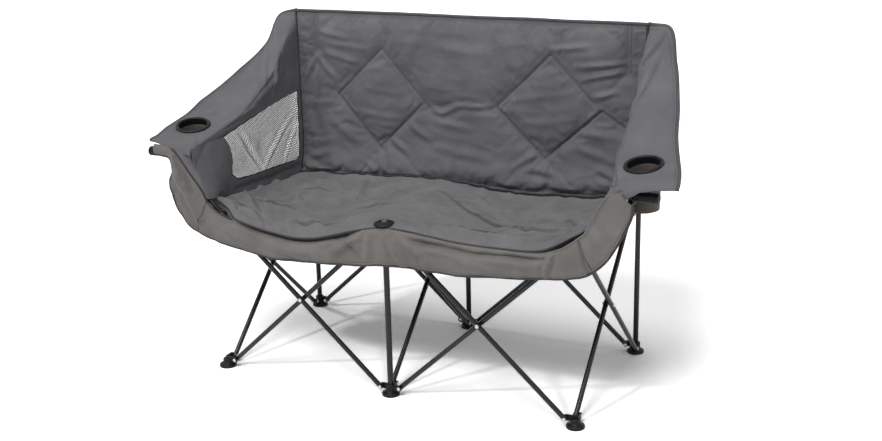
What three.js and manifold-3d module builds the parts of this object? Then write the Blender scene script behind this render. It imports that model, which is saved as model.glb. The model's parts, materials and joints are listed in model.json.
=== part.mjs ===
// Folding two-seat camping chair. Seven scissor pairs of steel tube join six feet to six hubs,
// and carry a sewn fabric seat, back, arms and front skirt.
// Millimetres, +Z up, the sitter faces -Y, and the part stands on Z = 0.

import * as THREE from 'three';
import { mergeVertices } from 'three/addons/utils/BufferGeometryUtils.js';
import Module from 'manifold-3d';

const wasm = await Module();
wasm.setup();

// Frame plan: the feet stand on a grid of one pitch, three across and two deep
const footPitch = 520;
const pinReach = 26; // from the centre of a foot or hub to its pivot pin
const footPinHeight = 22;
const hubPinHeight = 454;

// Tubes
const tubeDiameter = 13.5;
const tubeWall = 1.2;
const tubeGap = 1.5; // between the two tubes of a scissor pair
const tubeOverhang = 6; // tube past the centre of its end pin
const armLegReach = 237; // arm leg past its hub pin
const postDiameter = 15;
const postWall = 1.2;
const rearPostTop = 925;
const middlePostRise = 270; // above the hub pins, so that the folded hub stays on it
const frontPostDiameter = 16;
const frontPostGap = 2; // under the hub that stands on the inner tube
const sliderDiameter = 12; // inner tube of the front post
const sliderBottom = 70;
const tubeSides = 8;
const postSides = 10;

// Pivot pins and rivets
const pinDiameter = 6;
const pinClearance = 0.4; // round a pin and beside a tube
const headDiameter = 10.4;
const headThickness = 2;
const holeSides = 6;
const pinSides = 6;
const headSides = 8;

// Feet and hubs, moulded in one piece with their ears
const footRadius = 24;
const footThickness = 9;
const footBevel = 3;
const bossRadius = 11.6;
const bossHeight = 32;
const earThickness = 4.4;
const earRadius = 8;
const collarRadius = 12.4;
const collarDrop = 16; // collar below the hub pins
const cornerBossDrop = 4; // top of a corner hub's boss below its pins
const slideClearance = 0.5; // collar on its post
const seatingGap = 0.4; // between fixed pieces that touch
const bossSides = 12;
const footSides = 16;
const cupSides = 20;

// Arm ends and the cap over the front post
const armEndRadius = 13;
const armEndReach = 50; // outwards past the arm leg
const armEndRibs = 3;
const armEndRibDepth = 1.5;
const armEndBevel = 3;
const capRadius = 28;
const capRim = 3.5;
const capCrown = 11;

// Seat, in two halves that meet on the middle line
const seatPad = 16;
const seatEdge = 9;
const seatDip = 36; // front edge between two hubs
const seatSag = 20; // middle of a half below its edges
const seatSideRise = 25;
const seatSideWidth = 74;
const seatSideReach = 25; // past the outer feet
const seatFrontReach = 17.5; // in front of the front feet
const seatCornerWidth = 58; // over which the front edge steps back behind the arm legs
const seatRearGap = 3; // ahead of the rear hubs' ears
const seatHubGap = 4.6; // underside above the middle front hub
const seatRearLift = 5; // top of the rear edge above the hubs
const seatMiddleGap = 0.4;
const seatNotch = 2; // round the front post

// Back panel with two sewn diamonds
const backTopRise = 19; // above the rear posts
const backHubGap = 7; // above the hubs
const backSideReach = 17;
const backRearInset = 10; // rear face ahead of the rear posts' centres
const backPad = 18;
const backEdge = 7;
const diamondOffset = 258; // from the middle line to a diamond's centre
const diamondDrop = 11.5; // its centre below the middle of the back
const diamondHalfWidth = 144;
const diamondHalfHeight = 147;
const diamondSteps = 8; // grid cells across a diamond
const channelDepth = 6;
const pocketLength = 122;
const pocketWall = 1.6;
const pocketTopGap = 3;
const pocketRoof = 4;

// Arms, side panels and mesh windows
const armThickness = 5;
const armSag = 8;
const armInnerRise = 243; // inner edge above the bottom of the back, at the back
const armInnerLift = 16; // height of the inner edge at the front, above the arm end
const armTipReach = 56; // outer tip past the arm leg's end
const armTipLift = 38; // outer tip above the arm leg's end
const armShoulderReach = 57; // the rounded top corner beside the back
const armShoulderDrop = 16;
const armWingReach = 83; // where the outer edge turns forwards
const armWingDrop = 92;
const armWingFront = 38;
const armHang = 38; // outer edge below a straight line from wing to tip
const armHangOut = 14;
const sideFlare = 28; // how far the side panels lean out at their front top corners
const armSeamGap = 3;
const armLegGap = 4; // cloth behind the arm legs
const sideThickness = 2.6;
const sideHubGap = 8; // lower edge above the hubs
const legClearance = 20; // cloth above the place where an arm leg passes the side panel
const windowRearInset = 12;
const windowFrontInset = 92;
const windowTopInset = 5;
const windowBottomRear = 22; // window above the side panel's lower edge
const windowBottomFront = 57;
const netColumns = 8;
const netRows = 4;
const netBorder = 7;
const netStrand = 5;
const netThickness = 1.4;

// Cup holders
const cupAlongArm = 0.8; // share of the arm's length, from the back
const cupAcrossArm = 0.6; // share of the arm's width, from the inner edge
const cupFlangeRadius = 49;
const cupFlangeThickness = 4.5;
const cupFlangeBevel = 2.5;
const cupNeckRadius = 43.4;
const cupBoreRadius = 40;
const cupNeckDepth = 15;
const cupPlateau = 80; // flat part of the arm round the cup
const cupBlend = 70;
const cupInnerBlend = 0.16; // share of the arm's width left as slung, from the inner edge
const pouchDepth = 96;
const pouchWall = 1.8;
const pouchTaper = 4;

// Front skirt
const skirtThickness = 3;
const skirtFold = 6;
const skirtFolds = 6; // on each side of the middle
const skirtArmInset = 30; // where the top edge meets the arm, outwards of the arm's inner edge
const skirtTipReach = 16; // past the arm leg's end
const hemDrop = 84; // hem below the hub pins at the middle
const hemSag = 6;
const hemCornerRise = 22;
const hemTipDrop = 6; // hem below the arm leg's end
const hemBulgeOut = 13;
const hemBulgeDown = 26;

// Worked out from the sizes above
const halfDepth = footPitch / 2;
const tubeRadius = tubeDiameter / 2;
const layer = (tubeDiameter + tubeGap) / 2;
const span = footPitch - 2 * pinReach;
const rise = hubPinHeight - footPinHeight;
const braceLength = Math.hypot(span, rise);
const openAngle = Math.atan2(span, rise);
const pinRadius = pinDiameter / 2;
const hubTop = hubPinHeight + earRadius;
const armLegLength = braceLength + armLegReach;
const seatFrontHeight = hubTop + seatHubGap + seatEdge;
const seatRearHeight = hubTop + seatRearLift;
const capSeat = seatFrontHeight + seatingGap;
const backBottom = hubTop + backHubGap;
const backTop = rearPostTop + backTopRise;
const diamondHeight = (backBottom + backTop) / 2 - diamondDrop;
const armInnerRear = backBottom + armInnerRise;
const sideBottom = hubTop + sideHubGap;
const behindLegs = layer + tubeRadius + armLegGap - halfDepth;
const armEndX = pinReach + armLegLength * Math.sin(openAngle);
const armEndZ = footPinHeight + armLegLength * Math.cos(openAngle);
const seatHalfWidth = footPitch + seatSideReach;
const backHalfWidth = footPitch + backSideReach;
const skirtReach = layer + armEndRadius + seatingGap + skirtThickness / 2;
const skirtPlane = -halfDepth - skirtReach;
const frontMost = halfDepth + skirtReach + skirtThickness / 2 + skirtFold;
const rearMost = halfDepth + footRadius;
const originShift = (frontMost - rearMost) / 2; // puts the origin under the middle of the whole chair

// Materials
const finish = (color, roughness, metalness) => () =>
  new THREE.MeshStandardMaterial({ color, roughness, metalness });
const powderCoat = finish(0x2b2c2e, 0.38, 0.5);
const blackPlastic = finish(0x1a1b1c, 0.55, 0);
const bareSteel = finish(0xb9babc, 0.3, 1);
const greyCloth = finish(0x66676a, 0.92, 0);
const quiltedCloth = finish(0x595a5d, 0.92, 0);
const armCloth = finish(0x707275, 0.92, 0);
const meshCloth = finish(0xa9a8aa, 0.85, 0);
const pouchCloth = finish(0x4a4542, 0.9, 0);

const chair = new THREE.Group();
chair.position.y = originShift;

function addPart(name, geometry, material) {
  const mesh = new THREE.Mesh(geometry, material());
  mesh.name = name;
  chair.add(mesh);
  return mesh;
}

// Solids and their joins

function toSolid(geometry) {
  const bare = geometry.clone();
  bare.deleteAttribute('normal');
  bare.deleteAttribute('uv');
  const merged = mergeVertices(bare, 1e-3);
  return new wasm.Manifold(new wasm.Mesh({
    numProp: 3,
    vertProperties: Float32Array.from(merged.attributes.position.array),
    triVerts: Uint32Array.from(merged.index.array),
  }));
}

function toGeometry(solid) {
  const mesh = solid.getMesh();
  const geometry = new THREE.BufferGeometry();
  geometry.setAttribute('position', new THREE.BufferAttribute(Float32Array.from(mesh.vertProperties), 3));
  geometry.setIndex(new THREE.BufferAttribute(Uint32Array.from(mesh.triVerts), 1));
  geometry.computeVertexNormals();
  return geometry;
}

const joinAll = (solids) => solids.reduce((whole, next) => whole.add(next));

// A rod along Z
function rod(radius, bottom, top, sides) {
  const geometry = new THREE.CylinderGeometry(radius, radius, top - bottom, sides);
  geometry.rotateX(Math.PI / 2);
  geometry.translate(0, 0, (bottom + top) / 2);
  return geometry;
}

// A rod along Y
function crossRod(radius, from, to, sides) {
  const geometry = new THREE.CylinderGeometry(radius, radius, Math.abs(to - from), sides);
  geometry.translate(0, (from + to) / 2, 0);
  return geometry;
}

// A turned shape about Z, from [radius, height] points that go round its section
function turned(points, sides) {
  const geometry = new THREE.LatheGeometry(points.map(([r, h]) => new THREE.Vector2(r, h)), sides);
  geometry.rotateX(Math.PI / 2);
  return facingOut(geometry);
}

// An open tube along Z
function pipe(outer, inner, bottom, top, sides) {
  const section = [[inner, bottom], [outer, bottom], [outer, top], [inner, top], [inner, bottom]];
  return turned(section, sides);
}

function signedVolume(geometry) {
  const at = geometry.attributes.position;
  const [a, b, c] = [new THREE.Vector3(), new THREE.Vector3(), new THREE.Vector3()];
  let sum = 0;
  for (let i = 0; i < geometry.index.count; i += 3) {
    a.fromBufferAttribute(at, geometry.index.getX(i));
    b.fromBufferAttribute(at, geometry.index.getX(i + 1));
    c.fromBufferAttribute(at, geometry.index.getX(i + 2));
    sum += a.dot(b.cross(c)) / 6;
  }
  return sum;
}

function facingOut(geometry) {
  if (signedVolume(geometry) < 0) {
    const flipped = Array.from(geometry.index.array);
    for (let i = 0; i < flipped.length; i += 3) {
      [flipped[i + 1], flipped[i + 2]] = [flipped[i + 2], flipped[i + 1]];
    }
    geometry.setIndex(flipped);
  }
  geometry.computeVertexNormals();
  return geometry;
}

// A closed cloth panel between two faces of one grid. facesAt gives [front point, rear point].
function clothPanel(columns, rows, facesAt, slopesUp = () => true) {
  const points = [];
  for (let j = 0; j <= rows; j += 1) {
    for (let i = 0; i <= columns; i += 1) {
      const [front, rear] = facesAt(i, j);
      points.push(front, rear);
    }
  }
  const at = (i, j, rear) => 2 * (j * (columns + 1) + i) + rear;
  const index = [];
  const quad = (a, b, c, d) => index.push(a, b, c, a, c, d);
  for (let j = 0; j < rows; j += 1) {
    for (let i = 0; i < columns; i += 1) {
      const corners = [[i, j], [i + 1, j], [i + 1, j + 1], [i, j + 1]];
      if (!slopesUp(i, j)) corners.push(corners.shift());
      const front = corners.map(([p, q]) => at(p, q, 0));
      const rear = corners.map(([p, q]) => at(p, q, 1));
      quad(...front);
      quad(rear[0], rear[3], rear[2], rear[1]);
    }
  }
  for (let i = 0; i < columns; i += 1) {
    quad(at(i, 0, 1), at(i + 1, 0, 1), at(i + 1, 0, 0), at(i, 0, 0));
    quad(at(i, rows, 0), at(i + 1, rows, 0), at(i + 1, rows, 1), at(i, rows, 1));
  }
  for (let j = 0; j < rows; j += 1) {
    quad(at(0, j, 0), at(0, j + 1, 0), at(0, j + 1, 1), at(0, j, 1));
    quad(at(columns, j, 1), at(columns, j + 1, 1), at(columns, j + 1, 0), at(columns, j, 0));
  }
  const geometry = new THREE.BufferGeometry().setFromPoints(points);
  geometry.setIndex(index);
  return facingOut(geometry);
}

const mix = THREE.MathUtils.lerp;
const smooth = THREE.MathUtils.smoothstep;

// Share of full padding across a panel: none at its edges, full over most of it
const padding = (s) => 1 - Math.abs(2 * s - 1) ** 4;

// Scissor tubes. Each leans from a foot pin to a hub pin, and its pins run across the pair's plane.

function braceGeometry(length) {
  const bar = pipe(tubeRadius, tubeRadius - tubeWall, -tubeOverhang, length, tubeSides);
  const holeRadius = (pinRadius + pinClearance) / Math.cos(Math.PI / holeSides);
  const drill = crossRod(holeRadius, -tubeDiameter, tubeDiameter, holeSides);
  const holes = [0, braceLength / 2, braceLength].map((z) => toSolid(drill.clone().translate(0, 0, z)));
  return toGeometry(toSolid(bar).subtract(joinAll(holes)));
}

// plane 'across' lies along X, and 'along' lies along Y. side is the layer within the pair.
function addBrace(name, foot, lean, plane, side, length = braceLength + tubeOverhang) {
  const mesh = addPart(name, braceGeometry(length), powderCoat);
  if (plane === 'across') {
    mesh.position.set(foot.x + lean * pinReach, foot.y + side * layer, footPinHeight);
    mesh.rotation.y = lean * openAngle;
  } else {
    mesh.position.set(foot.x + side * layer, foot.y + lean * pinReach, footPinHeight);
    mesh.rotation.set(-lean * openAngle, 0, Math.PI / 2, 'XYZ');
  }
  return mesh;
}

// The rivet through the middle of a scissor pair
function addRivet(name, foot, lean, plane) {
  const half = layer + tubeRadius + pinClearance;
  const section = [
    [0, -half - headThickness], [headDiameter / 3, -half - headThickness], [headDiameter / 2, -half],
    [pinRadius, -half], [pinRadius, half],
    [headDiameter / 2, half], [headDiameter / 3, half + headThickness], [0, half + headThickness],
  ];
  const mesh = addPart(name, turned(section, headSides), bareSteel);
  const reach = lean * (pinReach + span / 2);
  const height = footPinHeight + rise / 2;
  if (plane === 'across') {
    mesh.position.set(foot.x + reach, foot.y, height);
    mesh.rotation.x = Math.PI / 2;
  } else {
    mesh.position.set(foot.x, foot.y + reach, height);
    mesh.rotation.y = Math.PI / 2;
  }
}

// Feet and hubs

// An ear that reaches out along +X at a pin height, with its riveted pin across Y.
// side is the layer of the tube that hangs on the pin.
function earSolid(height, side) {
  const outline = new THREE.Shape();
  outline.moveTo(0, -earRadius);
  outline.lineTo(pinReach, -earRadius);
  outline.absarc(pinReach, 0, earRadius, -Math.PI / 2, Math.PI / 2, false);
  outline.lineTo(0, earRadius);
  const flat = { depth: earThickness, bevelEnabled: false, curveSegments: 4 };
  const ear = new THREE.ExtrudeGeometry(outline, flat);
  ear.rotateX(Math.PI / 2);
  const face = side * (tubeGap / 2 - pinClearance);
  ear.translate(0, side > 0 ? face : face + earThickness, height);
  const far = side * (layer + tubeRadius + pinClearance);
  const pin = crossRod(pinRadius, face - side * earThickness / 2, far + side * headThickness / 2, pinSides);
  const head = crossRod(headDiameter / 2, far, far + side * headThickness, headSides);
  pin.translate(pinReach, 0, height);
  head.translate(pinReach, 0, height);
  return joinAll([ear, pin, head].map(toSolid));
}

// Ears towards neighbours, each given as [direction, layer], with layer +1 towards +X or +Y
function earSolids(height, ears) {
  const turns = { right: 0, rear: 90, left: 180, front: 270 };
  return ears.map(([direction, side]) => {
    const mirrored = direction === 'left' || direction === 'rear' ? -1 : 1;
    return earSolid(height, side * mirrored).rotate([0, 0, turns[direction]]);
  });
}

function addFoot(name, place, ears, socketFor) {
  const base = turned([
    [0, 0], [footRadius, 0], [footRadius, footThickness - footBevel],
    [footRadius - footBevel, footThickness], [0, footThickness],
  ], footSides);
  const solids = [toSolid(base), toSolid(rod(bossRadius, footThickness / 2, bossHeight, bossSides))];
  let foot = joinAll([...solids, ...earSolids(footPinHeight, ears)]);
  if (socketFor) {
    const socket = rod(socketFor + seatingGap, footThickness, 2 * bossHeight, bossSides);
    foot = foot.subtract(toSolid(socket));
  }
  addPart(name, toGeometry(foot), blackPlastic).position.set(place.x, place.y, 0);
}

// A hub that slides on a post, or is fixed to one where clearance is the seating gap
function addCollarHub(name, place, ears, boreFor, clearance) {
  const collar = rod(collarRadius, hubPinHeight - collarDrop, hubTop, bossSides);
  const bore = rod(boreFor + clearance, hubPinHeight - 2 * collarDrop, 2 * hubTop, bossSides);
  const hub = joinAll([toSolid(collar), ...earSolids(hubPinHeight, ears)]).subtract(toSolid(bore));
  addPart(name, toGeometry(hub), blackPlastic).position.set(place.x, place.y, 0);
}

// A front corner hub, which has no post
function addCornerHub(name, place, ears) {
  const boss = rod(bossRadius, hubPinHeight - collarDrop, hubPinHeight - cornerBossDrop, bossSides);
  const hub = joinAll([toSolid(boss), ...earSolids(hubPinHeight, ears)]);
  addPart(name, toGeometry(hub), blackPlastic).position.set(place.x, place.y, 0);
}

// Posts

function addPost(name, place, diameter, wall, bottom, top) {
  const tube = pipe(diameter / 2, diameter / 2 - wall, bottom, top, postSides);
  addPart(name, tube, powderCoat).position.set(place.x, place.y, 0);
}

// The ribbed plug on the top of an arm leg, which sticks out sideways from the cloth
function addArmEnd(name, side, leg) {
  const pitch = armEndReach / armEndRibs;
  const groove = armEndRadius - armEndRibDepth;
  const section = [[0, -tubeDiameter], [armEndRadius, -tubeDiameter]];
  for (let rib = 1; rib < armEndRibs; rib += 1) {
    section.push([armEndRadius, rib * pitch - armEndRibDepth], [groove, rib * pitch]);
    section.push([armEndRadius, rib * pitch + armEndRibDepth]);
  }
  section.push([armEndRadius, armEndReach - armEndBevel], [armEndRadius - armEndBevel, armEndReach]);
  section.push([0, armEndReach]);
  const plug = turned(section, bossSides);
  plug.rotateY(side * Math.PI / 2);
  plug.translate(side * armEndX, leg.position.y, armEndZ);
  const socket = rod(tubeRadius + seatingGap, 0, armLegLength + seatingGap, bossSides);
  socket.rotateY(side * openAngle);
  socket.translate(leg.position.x, leg.position.y, leg.position.z);
  addPart(name, toGeometry(toSolid(plug).subtract(toSolid(socket))), blackPlastic);
}

// The domed cap that holds the seat down on the front post
function addSeatCap(place) {
  const bore = sliderDiameter / 2 + seatingGap;
  const roof = capSeat + capRim + capCrown;
  const crown = [];
  const crownSteps = 4;
  for (let step = 0; step <= crownSteps; step += 1) {
    const turn = step / crownSteps * Math.PI / 2;
    crown.push([capRadius * Math.cos(turn), capSeat + capRim + capCrown * Math.sin(turn)]);
  }
  crown[crown.length - 1] = [0, roof];
  const inside = [[0, roof - capRim], [bore, roof - capRim], [bore, capSeat]];
  const section = [...inside, [capRadius, capSeat], ...crown];
  addPart('seat_cap', turned(section, bossSides), blackPlastic).position.set(place.x, place.y, 0);
  return roof - capRim - seatingGap;
}

// Seat

function seatTopAt(x, depthShare) {
  const between = Math.sin(Math.PI * Math.min(x / footPitch, 1)) ** 2;
  const side = seatSideRise * smooth(x, seatHalfWidth - seatSideWidth, seatHalfWidth);
  const front = seatFrontHeight - seatDip * between;
  const hang = seatSag * Math.sin(Math.PI * depthShare) * between;
  return mix(front, seatRearHeight, depthShare) + side - hang;
}

function addSeatHalf(name, side, post) {
  const columns = 12;
  const rows = 8;
  const frontEdge = -halfDepth - seatFrontReach;
  const cornerEnd = footPitch - pinReach - earRadius;
  const rearEdge = halfDepth - pinReach - earRadius - seatRearGap;
  const pad = clothPanel(columns, rows, (i, j) => {
    const x = mix(seatMiddleGap, seatHalfWidth, i / columns);
    const depthShare = j / rows;
    const corner = smooth(x, cornerEnd - seatCornerWidth, cornerEnd);
    const y = mix(mix(frontEdge, behindLegs, corner), rearEdge, depthShare);
    const top = seatTopAt(x, depthShare);
    const thick = mix(seatEdge, seatPad, padding(i / columns) * padding(depthShare));
    const crown = (thick - seatEdge) / 2;
    const under = top + crown - thick;
    return [new THREE.Vector3(side * x, y, top + crown), new THREE.Vector3(side * x, y, under)];
  });
  const notch = rod(sliderDiameter / 2 + seatNotch, hubTop, 2 * hubTop, bossSides);
  notch.translate(post.x, post.y, 0);
  addPart(name, toGeometry(toSolid(pad).subtract(toSolid(notch))), greyCloth);
}

// Back

// Grid lines across the back, which pass through the corners of both diamonds
function backColumns() {
  const half = [0, (diamondOffset - diamondHalfWidth) / 2];
  for (let n = 0; n <= diamondSteps; n += 1) {
    half.push(diamondOffset + (2 * n / diamondSteps - 1) * diamondHalfWidth);
  }
  const outside = diamondOffset + diamondHalfWidth;
  half.push((outside + backHalfWidth) / 2, backHalfWidth);
  const mirrored = half.slice(1).reverse().map((x) => -x);
  return [...mirrored, ...half];
}

function backRows() {
  const low = diamondHeight - diamondHalfHeight;
  const high = diamondHeight + diamondHalfHeight;
  const rows = [backBottom, (backBottom + low) / 2];
  for (let n = 0; n <= diamondSteps; n += 1) rows.push(mix(low, high, n / diamondSteps));
  return [...rows, (high + backTop) / 2, backTop];
}

// None at a diamond's centre, and one on its sewn outline
function diamondReach(x, z) {
  const across = Math.abs(Math.abs(x) - diamondOffset) / diamondHalfWidth;
  return across + Math.abs(z - diamondHeight) / diamondHalfHeight;
}

function addBack() {
  const columns = backColumns();
  const rows = backRows();
  const rearFace = halfDepth - backRearInset;
  const sewnWithin = 1e-6;
  const facesAt = (i, j) => {
    const x = columns[i];
    const z = rows[j];
    const across = (x + backHalfWidth) / (2 * backHalfWidth);
    const up = (z - backBottom) / (backTop - backBottom);
    const full = padding(across) * padding(up);
    const sewn = Math.abs(diamondReach(x, z) - 1) < sewnWithin ? channelDepth : 0;
    const thick = mix(backEdge, backPad, full) - sewn;
    return [new THREE.Vector3(x, rearFace - thick, z), new THREE.Vector3(x, rearFace, z)];
  };
  const slopesUp = (i, j) => {
    const x = (columns[i] + columns[i + 1]) / 2;
    const z = (rows[j] + rows[j + 1]) / 2;
    return (Math.abs(x) - diamondOffset) * Math.sign(x) * (z - diamondHeight) < 0;
  };
  addPart('back_panel', clothPanel(columns.length - 1, rows.length - 1, facesAt, slopesUp), quiltedCloth);
}

// The sewn pocket that slips over the top of a rear post
function addPostPocket(name, place) {
  const inner = postDiameter / 2 + slideClearance;
  const roof = rearPostTop + pocketTopGap;
  const bottom = roof - pocketLength;
  const section = [
    [0, roof], [inner, roof], [inner, bottom], [inner + pocketWall, bottom],
    [inner + pocketWall, roof], [inner, roof + pocketRoof], [0, roof + pocketRoof],
  ];
  addPart(name, turned(section, bossSides), greyCloth).position.set(place.x, place.y, 0);
}

// Arms

const armTip = new THREE.Vector3(armEndX + armTipReach, -halfDepth - seatFrontReach, armEndZ + armTipLift);
const seamX = backHalfWidth + armSeamGap;
const armInner = new THREE.LineCurve3(
  new THREE.Vector3(seamX, halfDepth - 2 * backRearInset, armInnerRear),
  new THREE.Vector3(seatHalfWidth + sideThickness + sideFlare, armTip.y, armEndZ + armInnerLift),
);
const seamTop = new THREE.Vector3(seamX, halfDepth - backRearInset, backTop - armSeamGap);
const armWing = seamTop.clone().add(new THREE.Vector3(armWingReach, -armWingFront, -armWingDrop));
const armOuter = new THREE.CatmullRomCurve3([
  seamTop,
  seamTop.clone().add(new THREE.Vector3(armShoulderReach, -armSeamGap, -armShoulderDrop)),
  ...[0, 0.25, 0.5, 0.75, 1].map((share) => {
    const hang = Math.sin(Math.PI * share);
    return armWing.clone().lerp(armTip, share).add(new THREE.Vector3(armHangOut * hang, 0, -armHang * hang));
  }),
]);

// A point of the right arm's middle surface, before it is flattened round the cup
function slungAt(along, across) {
  const point = armInner.getPoint(along).lerp(armOuter.getPointAt(along), across);
  point.z -= armSag * Math.sin(Math.PI * along) * Math.sin(Math.PI * across);
  return point;
}

// The upward normal of a surface given as a function of the shares along and across the arm
function normalOf(surfaceAt, along, across) {
  const step = 0.02;
  const [a0, a1] = [Math.max(along - step, 0), Math.min(along + step, 1)];
  const [c0, c1] = [Math.max(across - step, 0), Math.min(across + step, 1)];
  const lengthwise = surfaceAt(a1, across).sub(surfaceAt(a0, across));
  const crosswise = surfaceAt(along, c1).sub(surfaceAt(along, c0));
  return lengthwise.cross(crosswise).normalize();
}

const cupCentre = slungAt(cupAlongArm, cupAcrossArm);
const cupNormal = normalOf(slungAt, cupAlongArm, cupAcrossArm);

function armAt(along, across) {
  const point = slungAt(along, across);
  const height = point.clone().sub(cupCentre).dot(cupNormal);
  const away = point.distanceTo(cupCentre);
  const flat = (1 - smooth(away, cupPlateau, cupPlateau + cupBlend)) * smooth(across, 0, cupInnerBlend);
  return point.addScaledVector(cupNormal, -height * flat);
}

const mirrorX = (point, side) => point.setX(side * point.x);

// Turns a piece made upright so that it stands on the arm's cup plateau
function standOnCup(mesh, side, lift) {
  const normal = mirrorX(cupNormal.clone(), side);
  mesh.quaternion.setFromUnitVectors(new THREE.Vector3(0, 0, 1), normal);
  mesh.position.copy(mirrorX(cupCentre.clone(), side)).addScaledVector(normal, lift);
}

function addArm(name, side) {
  const columns = 12;
  const rows = 6;
  const panel = clothPanel(columns, rows, (i, j) => {
    const [along, across] = [i / columns, j / rows];
    const point = armAt(along, across);
    const half = normalOf(armAt, along, across).multiplyScalar(armThickness / 2);
    const faces = [point.clone().add(half), point.clone().sub(half)];
    return faces.map((face) => mirrorX(face, side));
  });
  const cupHoleRadius = (cupNeckRadius + seatingGap) / Math.cos(Math.PI / cupSides);
  const hole = rod(cupHoleRadius, -cupPlateau / 2, cupPlateau / 2, cupSides);
  const cutter = new THREE.Mesh(hole);
  standOnCup(cutter, side, 0);
  cutter.updateMatrix();
  hole.applyMatrix4(cutter.matrix);
  addPart(name, toGeometry(toSolid(panel).subtract(toSolid(hole))), armCloth);
}

function addCup(ringName, pouchName, side) {
  const lift = armThickness / 2 + seatingGap;
  const ring = turned([
    [cupBoreRadius, -cupNeckDepth], [cupNeckRadius, -cupNeckDepth], [cupNeckRadius, 0], [cupFlangeRadius, 0],
    [cupFlangeRadius, cupFlangeThickness / 3], [cupFlangeRadius - cupFlangeBevel, cupFlangeThickness],
    [cupBoreRadius + cupFlangeBevel, cupFlangeThickness], [cupBoreRadius, cupFlangeThickness / 2],
    [cupBoreRadius, -cupNeckDepth],
  ], cupSides);
  standOnCup(addPart(ringName, ring, blackPlastic), side, lift);
  const top = -cupNeckDepth - seatingGap;
  const rim = new THREE.Object3D();
  standOnCup(rim, side, lift);
  rim.updateMatrix();
  addPart(pouchName, hungPouch(rim.matrix, top), pouchCloth);
}

// A cloth cup whose rim follows the tilted ring and whose floor hangs level below it
function hungPouch(rimMatrix, top) {
  const floor = top - pouchDepth;
  const pouch = turned([
    [0, floor], [cupNeckRadius - pouchTaper, floor],
    [cupNeckRadius, top], [cupNeckRadius - pouchWall, top],
    [cupNeckRadius - pouchTaper - pouchWall, floor + pouchWall], [0, floor + pouchWall],
  ], cupSides);
  const centre = new THREE.Vector3(0, 0, top).applyMatrix4(rimMatrix);
  const at = pouch.attributes.position;
  const point = new THREE.Vector3();
  for (let i = 0; i < at.count; i += 1) {
    point.fromBufferAttribute(at, i);
    const down = (top - point.z) / pouchDepth;
    const level = new THREE.Vector3(point.x, point.y, point.z - top).add(centre);
    point.setZ(top).applyMatrix4(rimMatrix).lerp(level, down);
    at.setXYZ(i, point.x, point.y, point.z);
  }
  return facingOut(pouch);
}

// Side panels, each a cloth frame round a mesh window

const legCrossing = footPinHeight + (seatHalfWidth - pinReach) / Math.tan(openAngle);
const sideFront = armTip.y;
const sideRear = halfDepth - 2 * backRearInset;
const alongSide = (y) => (sideRear - y) / (sideRear - sideFront);
const armInnerAt = (y) => mix(armInnerRear, armEndZ + armInnerLift, alongSide(y));
const sideTopAt = (y) => armInnerAt(y) - armThickness / 2 - seatingGap;

function windowCorners(inset) {
  const rear = sideRear - windowRearInset - inset;
  const front = behindLegs + windowFrontInset + inset;
  const topInset = windowTopInset + inset;
  return [
    new THREE.Vector2(front, sideBottom + windowBottomFront + inset),
    new THREE.Vector2(rear, sideBottom + windowBottomRear + inset),
    new THREE.Vector2(rear, sideTopAt(rear) - topInset),
    new THREE.Vector2(front, sideTopAt(front) - topInset),
  ];
}

// A thin piece drawn in Y and Z, standing beside the seat and leaning out towards its front top corner
function addUpright(name, outline, thickness, side, material) {
  const panel = new THREE.ExtrudeGeometry(outline, { depth: thickness, bevelEnabled: false });
  const standing = new THREE.Matrix4().makeBasis(
    new THREE.Vector3(0, 1, 0),
    new THREE.Vector3(0, 0, 1),
    new THREE.Vector3(1, 0, 0),
  );
  panel.applyMatrix4(standing);
  const inner = seatHalfWidth + seatingGap + (sideThickness - thickness) / 2;
  const at = panel.attributes.position;
  for (let i = 0; i < at.count; i += 1) {
    const [y, z] = [at.getY(i), at.getZ(i)];
    const lean = sideFlare * alongSide(y) * (z - sideBottom) / (sideTopAt(y) - sideBottom);
    at.setX(i, side * (inner + lean + at.getX(i)));
  }
  const bare = mergeVertices(panel.deleteAttribute('normal').deleteAttribute('uv'));
  addPart(name, facingOut(bare), material);
}

function addSidePanel(panelName, netName, side) {
  const outline = new THREE.Shape([
    new THREE.Vector2(behindLegs, sideBottom),
    new THREE.Vector2(sideRear, sideBottom),
    new THREE.Vector2(sideRear, sideTopAt(sideRear)),
    new THREE.Vector2(sideFront, sideTopAt(sideFront)),
    new THREE.Vector2(sideFront, legCrossing + 2 * legClearance),
    new THREE.Vector2(behindLegs, legCrossing + legClearance),
  ]);
  outline.holes.push(new THREE.Path(windowCorners(0).reverse()));
  addUpright(panelName, outline, sideThickness, side, armCloth);

  const net = new THREE.Shape(windowCorners(seatingGap));
  const [a, b, c, d] = windowCorners(netBorder);
  const pointAt = (u, v) => a.clone().lerp(b, u).lerp(d.clone().lerp(c, u), v);
  const across = netStrand / (b.x - a.x) / 2;
  const up = netStrand / (d.y - a.y) / 2;
  for (let i = 0; i < netColumns; i += 1) {
    for (let j = 0; j < netRows; j += 1) {
      const [u0, u1] = [i / netColumns + across, (i + 1) / netColumns - across];
      const [v0, v1] = [j / netRows + up, (j + 1) / netRows - up];
      net.holes.push(new THREE.Path([pointAt(u0, v0), pointAt(u0, v1), pointAt(u1, v1), pointAt(u1, v0)]));
    }
  }
  addUpright(netName, net, netThickness, side, meshCloth);
}

// Front skirt, from arm end to arm end, hung in front of the hubs

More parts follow.
